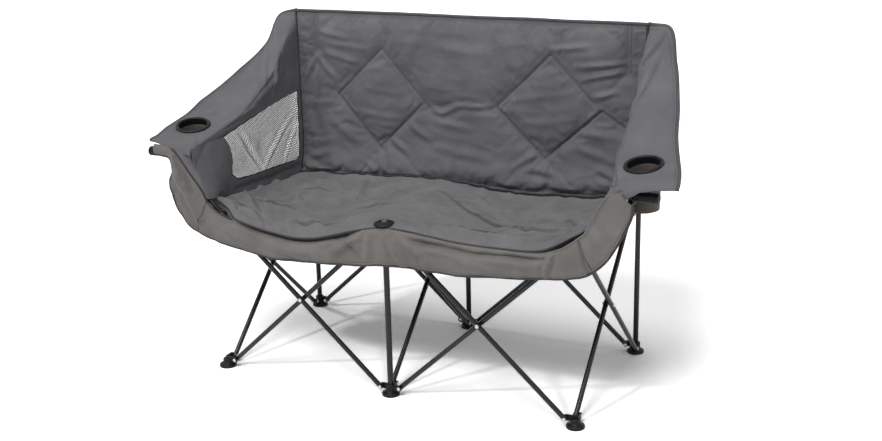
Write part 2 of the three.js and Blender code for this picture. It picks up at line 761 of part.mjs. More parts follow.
const upright = (x, z) => new THREE.Vector3(x, 0, z);
const skirtCorner = upright(footPitch, seatFrontHeight + seatSideRise / 2);
const skirtAtArm = upright(armInner.v2.x + skirtArmInset, armInner.v2.z - armThickness - seatingGap);
const skirtTop = new THREE.CatmullRomCurve3([
  upright(0, seatFrontHeight),
  upright(footPitch / 4, seatFrontHeight - seatDip / 2),
  upright(footPitch / 2, seatFrontHeight - seatDip),
  upright(footPitch * 3 / 4, seatFrontHeight - seatDip / 2),
  skirtCorner,
  skirtCorner.clone().lerp(skirtAtArm, 0.5),
  skirtAtArm,
  upright(armEndX + skirtTipReach, armEndZ + armTipLift - 2 * armThickness),
]);
const hemMiddle = hubPinHeight - hemDrop;
const hemCorner = upright(footPitch, hemMiddle + hemCornerRise);
const hemTip = upright(armEndX + skirtTipReach, armEndZ - hemTipDrop);
const skirtHem = new THREE.CatmullRomCurve3([
  upright(0, hemMiddle),
  upright(footPitch / 4, hemMiddle - hemSag / 2),
  upright(footPitch / 2, hemMiddle - hemSag),
  upright(footPitch * 3 / 4, hemMiddle),
  ...[0, 1 / 3, 2 / 3, 1].map((share) => {
    const bulge = Math.sin(Math.PI * share);
    return hemCorner.clone().lerp(hemTip, share).add(upright(hemBulgeOut * bulge, -hemBulgeDown * bulge));
  }),
]);

function addSkirt() {
  const halfColumns = 18;
  const rows = 3;
  const panel = clothPanel(2 * halfColumns, rows, (i, j) => {
    const along = Math.abs(i - halfColumns) / halfColumns;
    const side = i < halfColumns ? -1 : 1;
    const down = j / rows;
    const point = skirtTop.getPoint(along).lerp(skirtHem.getPoint(along), down);
    const fold = skirtFold * Math.sin(Math.PI * along * skirtFolds) ** 2 * down;
    const y = skirtPlane - fold;
    const x = side * point.x;
    const half = skirtThickness / 2;
    return [new THREE.Vector3(x, y - half, point.z), new THREE.Vector3(x, y + half, point.z)];
  });
  addPart('front_skirt', panel, greyCloth);
}

// Assembly

const feet = {};
for (const [row, y] of [['front', -halfDepth], ['rear', halfDepth]]) {
  for (const [column, x] of [['left', -footPitch], ['middle', 0], ['right', footPitch]]) {
    feet[`${row}_${column}`] = new THREE.Vector3(x, y, 0);
  }
}
const postRadius = postDiameter / 2;
const frontPostRadius = frontPostDiameter / 2;

addFoot('foot_front_left', feet.front_left, [['right', 1], ['rear', 1]]);
addFoot('foot_front_middle', feet.front_middle, [['left', -1], ['right', 1], ['rear', -1]], frontPostRadius);
addFoot('foot_front_right', feet.front_right, [['left', -1], ['rear', -1]]);
addFoot('foot_rear_left', feet.rear_left, [['right', -1], ['front', -1]], postRadius);
addFoot('foot_rear_middle', feet.rear_middle, [['left', 1], ['right', 1], ['front', 1]], postRadius);
addFoot('foot_rear_right', feet.rear_right, [['left', -1], ['front', 1]], postRadius);

addCornerHub('hub_front_left', feet.front_left, [['right', -1], ['rear', -1]]);
addCornerHub('hub_front_right', feet.front_right, [['left', 1], ['rear', 1]]);
const sliderRadius = sliderDiameter / 2;
const middleEars = [['left', 1], ['right', -1], ['rear', 1]];
addCollarHub('hub_front_middle', feet.front_middle, middleEars, sliderRadius, seatingGap);
addCollarHub('hub_rear_left', feet.rear_left, [['right', 1], ['front', 1]], postRadius, slideClearance);
const rearEars = [['left', -1], ['right', -1], ['front', -1]];
addCollarHub('hub_rear_middle', feet.rear_middle, rearEars, postRadius, slideClearance);
addCollarHub('hub_rear_right', feet.rear_right, [['left', 1], ['front', -1]], postRadius, slideClearance);

const armLegLeft = addBrace('arm_leg_left', feet.front_middle, -1, 'across', -1, armLegLength);
const armLegRight = addBrace('arm_leg_right', feet.front_middle, 1, 'across', 1, armLegLength);
addBrace('front_brace_left', feet.front_left, 1, 'across', 1);
addBrace('front_brace_right', feet.front_right, -1, 'across', -1);
addBrace('side_brace_left_front', feet.front_left, 1, 'along', 1);
addBrace('side_brace_left_rear', feet.rear_left, -1, 'along', -1);
addBrace('side_brace_right_front', feet.front_right, 1, 'along', -1);
addBrace('side_brace_right_rear', feet.rear_right, -1, 'along', 1);
addBrace('middle_brace_front', feet.front_middle, 1, 'along', -1);
addBrace('middle_brace_rear', feet.rear_middle, -1, 'along', 1);
addBrace('rear_brace_left_outer', feet.rear_left, 1, 'across', -1);
addBrace('rear_brace_left_inner', feet.rear_middle, -1, 'across', 1);
addBrace('rear_brace_right_outer', feet.rear_right, -1, 'across', -1);
addBrace('rear_brace_right_inner', feet.rear_middle, 1, 'across', 1);

addRivet('rivet_front_left', feet.front_middle, -1, 'across');
addRivet('rivet_front_right', feet.front_middle, 1, 'across');
addRivet('rivet_rear_left', feet.rear_middle, -1, 'across');
addRivet('rivet_rear_right', feet.rear_middle, 1, 'across');
addRivet('rivet_side_left', feet.front_left, 1, 'along');
addRivet('rivet_side_right', feet.front_right, 1, 'along');
addRivet('rivet_middle', feet.front_middle, 1, 'along');

const postBottom = footThickness + seatingGap;
addPost('rear_post_left', feet.rear_left, postDiameter, postWall, postBottom, rearPostTop);
const middlePostTop = hubPinHeight + middlePostRise;
addPost('rear_post_middle', feet.rear_middle, postDiameter, postWall, postBottom, middlePostTop);
addPost('rear_post_right', feet.rear_right, postDiameter, postWall, postBottom, rearPostTop);
const frontPostTop = hubPinHeight - collarDrop - frontPostGap;
addPost('front_post_outer', feet.front_middle, frontPostDiameter, postWall, postBottom, frontPostTop);
const sliderTop = addSeatCap(feet.front_middle);
addPost('front_post_inner', feet.front_middle, sliderDiameter, postWall, sliderBottom, sliderTop);

addArmEnd('arm_end_left', -1, armLegLeft);
addArmEnd('arm_end_right', 1, armLegRight);

addSeatHalf('seat_left', -1, feet.front_middle);
addSeatHalf('seat_right', 1, feet.front_middle);
addBack();
addPostPocket('post_pocket_left', feet.rear_left);
addPostPocket('post_pocket_right', feet.rear_right);
addSkirt();
for (const [hand, side] of [['left', -1], ['right', 1]]) {
  addArm(`arm_${hand}`, side);
  addSidePanel(`side_panel_${hand}`, `mesh_${hand}`, side);
  addCup(`cup_ring_${hand}`, `cup_pouch_${hand}`, side);
}

export default chair;
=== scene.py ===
# Folding two-seat camping chair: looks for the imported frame, in metres, sitter faces -Y
import json
import math

import bpy
import numpy as np
from mathutils import Matrix, Vector, noise


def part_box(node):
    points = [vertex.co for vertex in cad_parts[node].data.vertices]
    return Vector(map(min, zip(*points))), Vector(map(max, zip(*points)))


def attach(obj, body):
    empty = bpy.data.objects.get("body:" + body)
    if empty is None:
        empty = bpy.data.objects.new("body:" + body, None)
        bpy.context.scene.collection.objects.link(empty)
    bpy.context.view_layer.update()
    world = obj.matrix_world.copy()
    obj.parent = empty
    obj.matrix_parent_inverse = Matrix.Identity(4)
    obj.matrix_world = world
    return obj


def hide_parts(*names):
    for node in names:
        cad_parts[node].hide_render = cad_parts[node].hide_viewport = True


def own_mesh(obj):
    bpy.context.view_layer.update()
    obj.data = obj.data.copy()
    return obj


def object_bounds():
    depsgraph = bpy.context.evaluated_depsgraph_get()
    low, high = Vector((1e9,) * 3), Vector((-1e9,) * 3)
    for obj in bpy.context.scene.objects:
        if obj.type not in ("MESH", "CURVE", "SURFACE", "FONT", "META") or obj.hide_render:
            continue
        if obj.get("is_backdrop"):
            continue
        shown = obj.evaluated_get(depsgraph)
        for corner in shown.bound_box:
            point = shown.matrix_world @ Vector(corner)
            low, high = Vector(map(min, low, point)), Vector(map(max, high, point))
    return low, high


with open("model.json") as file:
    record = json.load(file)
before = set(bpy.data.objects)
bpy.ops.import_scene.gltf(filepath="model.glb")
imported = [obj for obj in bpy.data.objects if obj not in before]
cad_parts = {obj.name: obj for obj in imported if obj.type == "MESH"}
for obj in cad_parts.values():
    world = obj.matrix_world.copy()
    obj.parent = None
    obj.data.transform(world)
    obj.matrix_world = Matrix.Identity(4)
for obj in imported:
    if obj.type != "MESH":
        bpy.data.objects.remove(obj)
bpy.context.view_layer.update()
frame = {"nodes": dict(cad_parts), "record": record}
scene = bpy.context.scene
scene.view_settings.view_transform = "Standard"
print("frame loaded:", len(frame["nodes"]), "solids")

mm = 0.001
bothSides = (("left", -1), ("right", 1))
# the frame's own sizes, in mm, repeated from the solids
plan = dict(pitch=520, frontY=-257.05, rearY=262.95, pinReach=26, footPin=22, hubPin=454, layer=7.5,
            tubeRadius=6.75, overhang=6, armLegReach=237, earRadius=8, earThickness=4.4, tubeGap=1.5)
span = plan["pitch"] - 2 * plan["pinReach"]
rise = plan["hubPin"] - plan["footPin"]
braceLength = math.hypot(span, rise)
lean = math.atan2(span, rise)
armLegLength = braceLength + plan["armLegReach"]
armEndX = plan["pinReach"] + armLegLength * math.sin(lean)
armEndZ = plan["footPin"] + armLegLength * math.cos(lean)
# how each cloth gathers as the frame folds: along an axis, towards a point, to a share of its spread
backSquash = dict(joint="fold", axis=(1, 0, 0), anchor=(0, 0, 0), keep=0.26)
seatSquash = dict(joint="fold", axis=(0, 1, 0), anchor=(0, -0.236, 0), keep=0.17)
armSquash = dict(joint="fold", axis=(0, 1, 0), anchor=(0, 0.258, 0), keep=0.24)
skirtSquash = dict(joint="fold", axis=(1, 0, 0), anchor=(0, 0, 0), keep=0.2)


# small tools

def toLinear(code):
    channels = [int(code[i:i + 2], 16) / 255 for i in (1, 3, 5)]
    return [c / 12.92 if c <= 0.04045 else ((c + 0.055) / 1.055) ** 2.4 for c in channels] + [1.0]


def mix(a, b, t):
    return a + (b - a) * t


def smooth(x, a, b):
    t = np.clip((np.asarray(x, float) - a) / (b - a), 0, 1)
    return t * t * (3 - 2 * t)


def padding(s):
    # full in the middle and thin at both ends
    return 1 - np.abs(2 * s - 1) ** 4


def through(knots, values, x):
    # a smooth curve through chosen values
    k = np.asarray(knots, float)
    v = np.asarray(values, float)
    x = np.asarray(x, float)
    slope = np.gradient(v, k, axis=0)
    i = np.clip(np.searchsorted(k, x) - 1, 0, len(k) - 2)
    h = k[i + 1] - k[i]
    t = np.clip((x - k[i]) / h, 0, 1)
    if v.ndim > 1:
        h, t = h[..., None], t[..., None]
    a, b = v[i], v[i + 1]
    return ((2 * t ** 3 - 3 * t ** 2 + 1) * a + (t ** 3 - 2 * t ** 2 + t) * h * slope[i]
            + (3 * t ** 2 - 2 * t ** 3) * b + (t ** 3 - t ** 2) * h * slope[i + 1])


def runOf(points):
    # the length along a line up to each of its points
    return np.r_[0, np.cumsum(np.linalg.norm(np.diff(points, axis=0), axis=1))]


def evenly(points, count):
    # the same line with its points evenly spaced
    p = np.asarray(points, float)
    run = runOf(p)
    at = np.linspace(0, run[-1], count)
    return np.stack([np.interp(at, run, p[:, n]) for n in range(p.shape[1])], 1)


def curveThrough(points, count):
    p = np.asarray(points, float)
    run = runOf(p)
    return evenly(through(run, p, np.linspace(0, run[-1], 12 * count)), count)


def refine(grid, factor):
    # a finer grid through the same points
    for axis in (0, 1):
        g = np.moveaxis(grid, axis, 0)
        n = len(g)
        at = np.linspace(0, n - 1, (n - 1) * factor + 1)
        flat = through(np.arange(n), g.reshape(n, -1), at)
        grid = np.moveaxis(flat.reshape(len(at), *g.shape[1:]), 0, axis)
    return grid


def unit(v):
    return v / np.maximum(np.linalg.norm(v, axis=-1, keepdims=True), 1e-9)


def normalsOf(grid):
    return unit(np.cross(np.gradient(grid, axis=1), np.gradient(grid, axis=0)))


def ripple(points, size, seed):
    # slow waves in cloth, from -1 to 1, for points in mm
    flat = np.asarray(points, float).reshape(-1, np.shape(points)[-1]) / size
    if flat.shape[1] == 2:
        flat = np.c_[flat, np.zeros(len(flat))]
    start = Vector((seed * 7.3, seed * 3.1, seed))
    made = [noise.fractal(Vector(p) + start, 1.0, 2.0, 3) for p in flat]
    return np.array(made).reshape(np.shape(points)[:-1])


def puckered(points, size, seed):
    # narrow ridges between shallow hollows, as in slack cloth, from 0 to 1
    return (1 - np.abs(np.clip(ripple(points, size, seed), -1, 1))) ** 3


def toSegment(points, a, b):
    # distance from points to a line piece, and the share along it
    a, b = np.asarray(a, float), np.asarray(b, float)
    d = b - a
    t = np.clip(((points - a) @ d) / max(d @ d, 1e-9), 0, 1)
    return np.linalg.norm(points - a - t[..., None] * d, axis=-1), t


def toSeams(points, seams):
    # distance from points to the nearest of several seams
    return np.min([toSegment(points, *line)[0] for line in seams], 0)


def toLine(points, line):
    # distance to a drawn line, the share along it, and which of its pieces is nearest
    steps = len(line) - 1
    best = np.full(points.shape[:-1], 1e9)
    share = np.zeros(best.shape)
    which = np.zeros(best.shape, int)
    for n in range(steps):
        away, t = toSegment(points, line[n], line[n + 1])
        closer = away < best
        best = np.where(closer, away, best)
        share = np.where(closer, (n + t) / steps, share)
        which = np.where(closer, n, which)
    return best, share, which


def creased(points, creases):
    # soft ridges and hollows drawn as lines: points on the cloth, height and width in mm
    total = np.zeros(points.shape[:-1])
    for line, height, width in creases:
        away, share = toLine(points, line)[:2]
        fade = np.sin(np.pi * np.clip(0.08 + 0.84 * share, 0, 1)) ** 0.7
        ridge = np.exp(-(away / width) ** 2)
        hollow = np.exp(-((away - 1.7 * width) / width) ** 2)
        total += height * fade * (ridge - 0.45 * hollow)
    return total


def lapped(points, laps):
    # folds where cloth lies over itself, far side on top
    # each has a line from left to right, a height, an overlap and a reach in mm
    lift = np.zeros(points.shape[:-1])
    shift = np.zeros(points.shape)
    for line, height, over, reach in laps:
        line = np.asarray(line, float)
        away, share, which = toLine(points, line)
        way = unit(np.diff(line, axis=0))
        farther = np.stack([-way[:, 1], way[:, 0]], 1)[which]
        s = np.sign(((points - line[which]) * farther).sum(-1)) * away
        fade = np.sin(np.pi * share) ** 0.6
        step = smooth(s, -2, 3) * np.exp(-np.maximum(s, 0) / reach)
        hollow = np.exp(-((s + 5) / 5) ** 2)
        lift += fade * height * (step - 0.3 * hollow)
        shift -= (fade * over * np.exp(-((s - 3) / 4) ** 2))[..., None] * farther
    return lift, shift


def newPiece(name, verts, faces, materials, uv=None, faceMaterial=None, sharp=38):
    mesh = bpy.data.meshes.new(name)
    mesh.from_pydata((np.asarray(verts, float) * mm).tolist(), [], [list(map(int, f)) for f in faces])
    mesh.update()
    for material in materials:
        mesh.materials.append(material)
    mesh.polygons.foreach_set("use_smooth", [True] * len(mesh.polygons))
    if faceMaterial is not None:
        mesh.polygons.foreach_set("material_index", list(map(int, faceMaterial)))
    if uv is not None:
        corner = np.zeros(len(mesh.loops), np.int32)
        mesh.loops.foreach_get("vertex_index", corner)
        layer = mesh.uv_layers.new(name="cloth")
        layer.data.foreach_set("uv", (np.asarray(uv, float) * mm)[corner].ravel())
    mesh.set_sharp_from_angle(angle=math.radians(sharp))
    piece = bpy.data.objects.new(name, mesh)
    scene.collection.objects.link(piece)
    return piece


def dress(piece, body, slot, stoodFor=None, squash=None):
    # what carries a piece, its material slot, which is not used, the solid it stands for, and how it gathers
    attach(piece, body)
    if stoodFor:
        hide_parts(stoodFor)
    if squash:
        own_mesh(piece)


def flatMap(grid):
    # where each grid point lies on the flat cloth, in mm
    across = np.r_[0, np.cumsum(np.linalg.norm(np.diff(grid, axis=1), axis=2).mean(0))]
    down = np.r_[0, np.cumsum(np.linalg.norm(np.diff(grid, axis=0), axis=2).mean(1))]
    return np.stack(np.meshgrid(across, down), -1)


def shellFaces(rows, cols, keep=None, ring=False):
    # two skins and the wall along every open edge
    # keep marks the squares to make, and ring joins the last column to the first
    i = np.arange(rows * cols).reshape(rows, cols)
    i = np.c_[i, i[:, :1]] if ring else i
    face = np.stack([i[:-1, :-1], i[:-1, 1:], i[1:, 1:], i[1:, :-1]], -1)
    face = face.reshape(-1, 4) if keep is None else face[keep]
    far = rows * cols
    edge = np.concatenate([face[:, [n, (n + 1) % 4]] for n in range(4)])
    rim = edge[~np.isin(edge[:, 0] * far + edge[:, 1], edge[:, 1] * far + edge[:, 0])]
    wall = np.stack([rim[:, 1], rim[:, 0], rim[:, 0] + far, rim[:, 1] + far], -1)
    return np.concatenate([face, face[:, ::-1] + far, wall])


def outward(faces, outer, inner):
    # the faces turned so that they look out of the outer skin
    a, b, c = outer[0, 0], outer[0, 1], outer[1, 0]
    return faces[:, ::-1] if np.dot(np.cross(b - a, c - a), a - inner[0, 0]) < 0 else faces


def shell(name, outer, inner, materials, keep=None, ring=False, uv=None):
    # cloth or padding between two grids of points
    rows, cols = outer.shape[:2]
    uv = (flatMap(outer) if uv is None else uv).reshape(-1, 2)
    verts = np.concatenate([outer.reshape(-1, 3), inner.reshape(-1, 3)])
    uv = np.concatenate([uv, uv])
    faces = outward(shellFaces(rows, cols, keep, ring), outer, inner)
    used, faces = np.unique(faces, return_inverse=True)
    return newPiece(name, verts[used], faces.reshape(-1, 4), materials, uv[used])


def clothOf(name, grid, thickness, material, keep=None):
    half = normalsOf(grid) * thickness / 2
    return shell(name, grid + half, grid - half, [material], keep)


def hoops(count, sides, closed=False):
    # squares between rings of points, each ring to the next
    return [(i * sides + s, i * sides + (s + 1) % sides, (i + 1) % count * sides + (s + 1) % sides,
             (i + 1) % count * sides + s)
            for i in range(count if closed else count - 1) for s in range(sides)]


def lids(count, sides):
    # the faces that close the first and the last ring
    return [tuple(range(sides))[::-1], tuple(range((count - 1) * sides, count * sides))]


def tape(name, path, up, wide, high, material, closed=False, sides=10):
    # a flattened round section drawn along a line; up is the section's short way
    p = np.asarray(path, float)
    n = len(p)
    way = unit(np.roll(p, -1, 0) - np.roll(p, 1, 0) if closed else np.gradient(p, axis=0))
    thin = unit(np.broadcast_to(np.asarray(up, float), p.shape))
    thin = unit(thin - (thin * way).sum(1, keepdims=True) * way)
    across = np.cross(way, thin)
    turn = np.linspace(0, 2 * math.pi, sides, endpoint=False)
    ring = (np.cos(turn)[None, :, None] * across[:, None] * wide / 2
            + np.sin(turn)[None, :, None] * thin[:, None] * high / 2)
    faces = hoops(n, sides, closed) + ([] if closed else lids(n, sides))
    uv = np.stack([np.tile(turn / (2 * math.pi) * 2 * wide, n), np.repeat(runOf(p), sides)], -1)
    return newPiece(name, (p[:, None] + ring).reshape(-1, 3), faces, [material], uv)


def addTrim(sewn, *tapeSettings, **options):
    # a tape or piping; sewn holds the body, slot and gathering of the cloth it is on
    dress(tape(*tapeSettings, **options), **sewn)


def gathered(parts):
    # several meshes as one: (verts, faces, material number)
    verts, faces, used, at = [], [], [], 0
    for v, f, m in parts:
        verts.append(np.asarray(v, float).reshape(-1, 3))
        faces += [[int(n) + at for n in face] for face in f]
        used += [m] * len(f)
        at += len(verts[-1])
    return np.concatenate(verts), faces, used


def revolve(profile, sides=40):
    # a turned form about Z; profile goes up the outside as (radius, height)
    verts, rings, faces = [], [], []
    for radius, height in profile:
        if radius < 1e-6:
            rings.append([len(verts)])
            verts.append((0, 0, height))
            continue
        rings.append(list(range(len(verts), len(verts) + sides)))
        for s in range(sides):
            turn = 2 * math.pi * s / sides
            verts.append((radius * math.cos(turn), radius * math.sin(turn), height))
    for low, high in zip(rings, rings[1:]):
        for s in range(sides):
            e = (s + 1) % sides
            if len(low) == 1 and len(high) > 1:
                faces.append((low[0], high[e], high[s]))
            elif len(high) == 1 and len(low) > 1:
                faces.append((low[s], low[e], high[0]))
            elif len(low) > 1:
                faces.append((low[s], low[e], high[e], high[s]))
    return np.array(verts, float), faces


def placed(part, matrix):
    verts, faces = part
    m = np.array(matrix)
    return verts @ m[:3, :3].T + m[:3, 3], faces


def turnTo(direction, at):
    way = Vector(direction).to_track_quat("Z", "Y").to_matrix().to_4x4()
    return Matrix.Translation(Vector(at)) @ way


def slab(outline, thickness, bevel):
    # a flat moulded plate with eased edges: outline in X and Z, thickness along Y
    o = np.asarray(outline, float)
    inset = o + bevel * unit(o.mean(0) - o)
    half = thickness / 2
    layers = [(inset, -half), (o, -half + bevel), (o, half - bevel), (inset, half)]
    verts = np.array([(x, y, z) for line, y in layers for x, z in line])
    return verts, hoops(len(layers), len(o)) + lids(len(layers), len(o))


# bonded thread, drawn a little heavy so that it shows; rings are shares of the length and of the thickness
stitching = dict(pitch=4.2, length=3.0, across=1.0, high=0.7, sides=5,
                 rings=((-0.5, 0.35), (-0.3, 1.0), (0.3, 1.0), (0.5, 0.35)))


def stitchRow(path, up):
    # one row of stitches along a line that lies on the cloth
    s = stitching
    p = np.asarray(path, float)
    count = max(2, int(runOf(p)[-1] / s["pitch"]))
    line = evenly(p, 2 * count + 1)
    ups = np.broadcast_to(np.asarray(up, float), p.shape)
    if np.ptp(ups, axis=0).max() < 1e-9:
        ups = np.broadcast_to(ups[0], line.shape)
    else:
        ups = evenly(ups, len(line))
    faces = hoops(len(s["rings"]), s["sides"]) + lids(len(s["rings"]), s["sides"])
    parts = []
    for n in range(1, 2 * count, 2):
        way = unit(line[n + 1] - line[n - 1])
        outer = unit(ups[n] - (ups[n] @ way) * way)
        side = np.cross(way, outer)
        points = []
        for along, size in s["rings"]:
            for turn in np.linspace(0, 2 * math.pi, s["sides"], endpoint=False):
                points.append(line[n] + way * along * s["length"]
                              + side * math.cos(turn) * size * s["across"] / 2
                              + outer * (0.25 + math.sin(turn) * size / 2) * s["high"])
        parts.append((np.array(points), faces, 0))
    return parts


def addStitches(sewn, name, rows):
    # rows of stitches in one piece, on the cloth whose body, slot and gathering sewn holds
    verts, faces, used = gathered([part for path, up in rows for part in stitchRow(path, up)])
    dress(newPiece(name, verts, faces, [thread], np.zeros((len(verts), 2))), **sewn)


def sampleGrid(grid, rowAt, colAt):
    # points of a grid at fractional rows and columns
    r = np.clip(np.asarray(rowAt, float), 0, grid.shape[0] - 1.001)
    c = np.clip(np.asarray(colAt, float), 0, grid.shape[1] - 1.001)
    i, j = r.astype(int), c.astype(int)
    u, v = (r - i)[..., None], (c - j)[..., None]
    return (grid[i, j] * (1 - u) * (1 - v) + grid[i + 1, j] * u * (1 - v)
            + grid[i, j + 1] * (1 - u) * v + grid[i + 1, j + 1] * u * v)


# materials

def addNode(tree, kind, inputs=None, **settings):
    made = tree.nodes.new(kind)
    for key, value in settings.items():
        setattr(made, key, value)
    for key, value in (inputs or {}).items():
        if isinstance(value, bpy.types.NodeSocket):
            tree.links.new(value, made.inputs[key])
        else:
            made.inputs[key].default_value = value
    return made


def newMaterial(name, **sockets):
    material = bpy.data.materials.new(name)
    material.use_nodes = True
    tree = material.node_tree
    tree.nodes.clear()
    shader = addNode(tree, "ShaderNodeBsdfPrincipled", sockets)
    out = addNode(tree, "ShaderNodeOutputMaterial", {"Surface": shader.outputs[0]})
    return material, tree, shader, out


def clothMap(tree):
    return addNode(tree, "ShaderNodeUVMap", uv_map="cloth").outputs["UV"]


def calc(tree, operation, *values, **settings):
    inputs = dict(enumerate(values))
    return addNode(tree, "ShaderNodeMath", inputs, operation=operation, **settings).outputs[0]


def wavesOf(tree, vector, turn, axes="XY"):
    # a sine wave along each of the cloth's ways; turn is its angle for each unit of length
    parts = addNode(tree, "ShaderNodeSeparateXYZ", {0: vector}).outputs
    return [calc(tree, "SINE", calc(tree, "MULTIPLY", parts[axis], turn)) for axis in axes]


def clouds(tree, scale, detail):
    # uneven patches, about 1 / scale metres across
    place = addNode(tree, "ShaderNodeTexCoord").outputs["Object"]
    return addNode(tree, "ShaderNodeTexNoise", {"Vector": place, "Scale": scale, "Detail": detail}).outputs[0]


def ranged(tree, value, low, high, first=0.0, last=1.0):
    return addNode(tree, "ShaderNodeMapRange", {0: value, 1: low, 2: high, 3: first, 4: last}).outputs[0]


def colourBy(tree, shader, share, dark, light):
    made = addNode(tree, "ShaderNodeMix", {0: share, 6: toLinear(dark), 7: toLinear(light)}, data_type="RGBA")
    tree.links.new(made.outputs[2], shader.inputs["Base Color"])


def roughBy(tree, shader, share, low, high):
    tree.links.new(ranged(tree, share, 0.3, 0.7, low, high), shader.inputs["Roughness"])


def bumpBy(tree, shader, height, strength, distance, **under):
    made = addNode(tree, "ShaderNodeBump", dict(Strength=strength, Distance=distance, Height=height, **under))
    tree.links.new(made.outputs[0], shader.inputs["Normal"])
    return made.outputs[0]


def wovenPolyester(name, light, dark, roughness=0.78):
    # coated oxford cloth, plain woven: matte, with a fine grain of threads and slow changes of tone
    sockets = {"IOR": 1.46, "Sheen Weight": 0.12, "Sheen Roughness": 0.5, "Specular IOR Level": 0.32}
    material, tree, shader, out = newMaterial(name, **sockets)
    # threads lie 0.6 mm apart; drawn at 1.9 mm so that they show at all
    scale = {0: clothMap(tree), 3: 1 / (1.9 * mm)}
    counted = addNode(tree, "ShaderNodeVectorMath", scale, operation="SCALE").outputs[0]
    threads = [calc(tree, "ABSOLUTE", wave) for wave in wavesOf(tree, counted, math.pi)]
    over = addNode(tree, "ShaderNodeTexChecker", {"Vector": counted, "Scale": 1.0}).outputs["Fac"]
    weave = addNode(tree, "ShaderNodeMix", {0: over, 2: threads[0], 3: threads[1]}).outputs[0]
    # tone drifts over about 90 mm, and rubs over about 14 mm
    drift = clouds(tree, 11.0, 3.0)
    rub = clouds(tree, 70.0, 4.0)
    tone = calc(tree, "MULTIPLY", drift, 0.75)
    tone = calc(tree, "MULTIPLY_ADD", rub, 0.25, tone)
    tone = calc(tree, "MULTIPLY_ADD", weave, 0.22, tone)
    colourBy(tree, shader, ranged(tree, tone, 0.38, 0.86), dark, light)
    roughBy(tree, shader, rub, roughness - 0.07, roughness + 0.07)
    # small puckers about 20 mm long under the thread relief
    soft = bumpBy(tree, shader, clouds(tree, 46.0, 2.0), 0.35, 0.0016)
    bumpBy(tree, shader, weave, 0.35, 0.0004, Normal=soft)
    return material


def grosgrainTape(name, light, dark):
    # ribbed polyester binding tape: fine ribs across its length, slightly silky
    sockets = {"IOR": 1.46, "Roughness": 0.62, "Specular IOR Level": 0.35}
    material, tree, shader, out = newMaterial(name, **sockets)
    # ribs are 1 mm apart; drawn at 2.4 mm so that they show
    rib = wavesOf(tree, clothMap(tree), 2 * math.pi / (2.4 * mm), "Y")[0]
    half = ranged(tree, rib, -1.0, 1.0)
    # the tone drifts over about 30 mm
    tone = calc(tree, "MULTIPLY_ADD", half, 0.4, clouds(tree, 30.0, 3.0))
    colourBy(tree, shader, ranged(tree, tone, 0.4, 1.0), dark, light)
    bumpBy(tree, shader, half, 0.4, 0.0004)
    return material


def warpKnitMesh(name, light, dark):
    # open warp-knit polyester: diamond holes in rows, so that what is behind shows through
    sockets = {"IOR": 1.5, "Roughness": 0.6, "Specular IOR Level": 0.35}
    material, tree, shader, out = newMaterial(name, **sockets)
    # the net's holes are about 2 mm wide; drawn on a pitch of 7.5 mm so that the rows show
    lattice = {0: clothMap(tree), 2: (0, 0, math.radians(38)), 3: (1 / (7.5 * mm),) * 3}
    turned = addNode(tree, "ShaderNodeMapping", lattice).outputs[0]
    net = calc(tree, "MULTIPLY", *wavesOf(tree, turned, 2.0 * math.pi))
    colourBy(tree, shader, clouds(tree, 24.0, 3.0), dark, light)
    bumpBy(tree, shader, net, 0.5, 0.0006)
    hole = calc(tree, "GREATER_THAN", net, 0.4)
    clear = addNode(tree, "ShaderNodeBsdfTransparent").outputs[0]
    both = addNode(tree, "ShaderNodeMixShader", {0: hole, 1: shader.outputs[0], 2: clear}).outputs[0]
    tree.links.new(both, out.inputs["Surface"])
    return material


def powderCoat(name, light, dark):
    # polyester powder coat on steel tube: semi-gloss with a faint orange peel
    material, tree, shader, out = newMaterial(name, **{"IOR": 1.5, "Specular IOR Level": 0.28})
    # peel is 1.2 mm across, and dull handled patches about 40 mm
    patch = clouds(tree, 24.0, 3.0)
    colourBy(tree, shader, patch, dark, light)
    roughBy(tree, shader, patch, 0.16, 0.24)
    bumpBy(tree, shader, clouds(tree, 820.0, 1.0), 0.12, 0.0002)
    return material


def mouldedNylon(name, light, dark):
    # injection-moulded nylon: spark-eroded grain, paler where edges rub
    material, tree, shader, out = newMaterial(name, **{"IOR": 1.53, "Specular IOR Level": 0.16})
    # grain is 0.6 mm across, and patches about 17 mm
    patch = clouds(tree, 60.0, 3.0)
    edge = addNode(tree, "ShaderNodeNewGeometry").outputs["Pointiness"]
    worn = ranged(tree, edge, 0.5, 0.62, 0.0, 0.5)
    colourBy(tree, shader, calc(tree, "MULTIPLY_ADD", patch, 0.5, worn), dark, light)
    roughBy(tree, shader, patch, 0.4, 0.52)
    bumpBy(tree, shader, clouds(tree, 1600.0, 2.0), 0.25, 0.0002)
    return material


def zincedSteel(name, light, dark):
    # zinc-plated rivet steel, headed cold: bright, with a fine grain
    material, tree, shader, out = newMaterial(name, **{"Metallic": 1.0})
    # the grain is 0.4 mm across
    grain = clouds(tree, 2400.0, 2.0)
    colourBy(tree, shader, grain, dark, light)
    roughBy(tree, shader, grain, 0.22, 0.38)
    return material


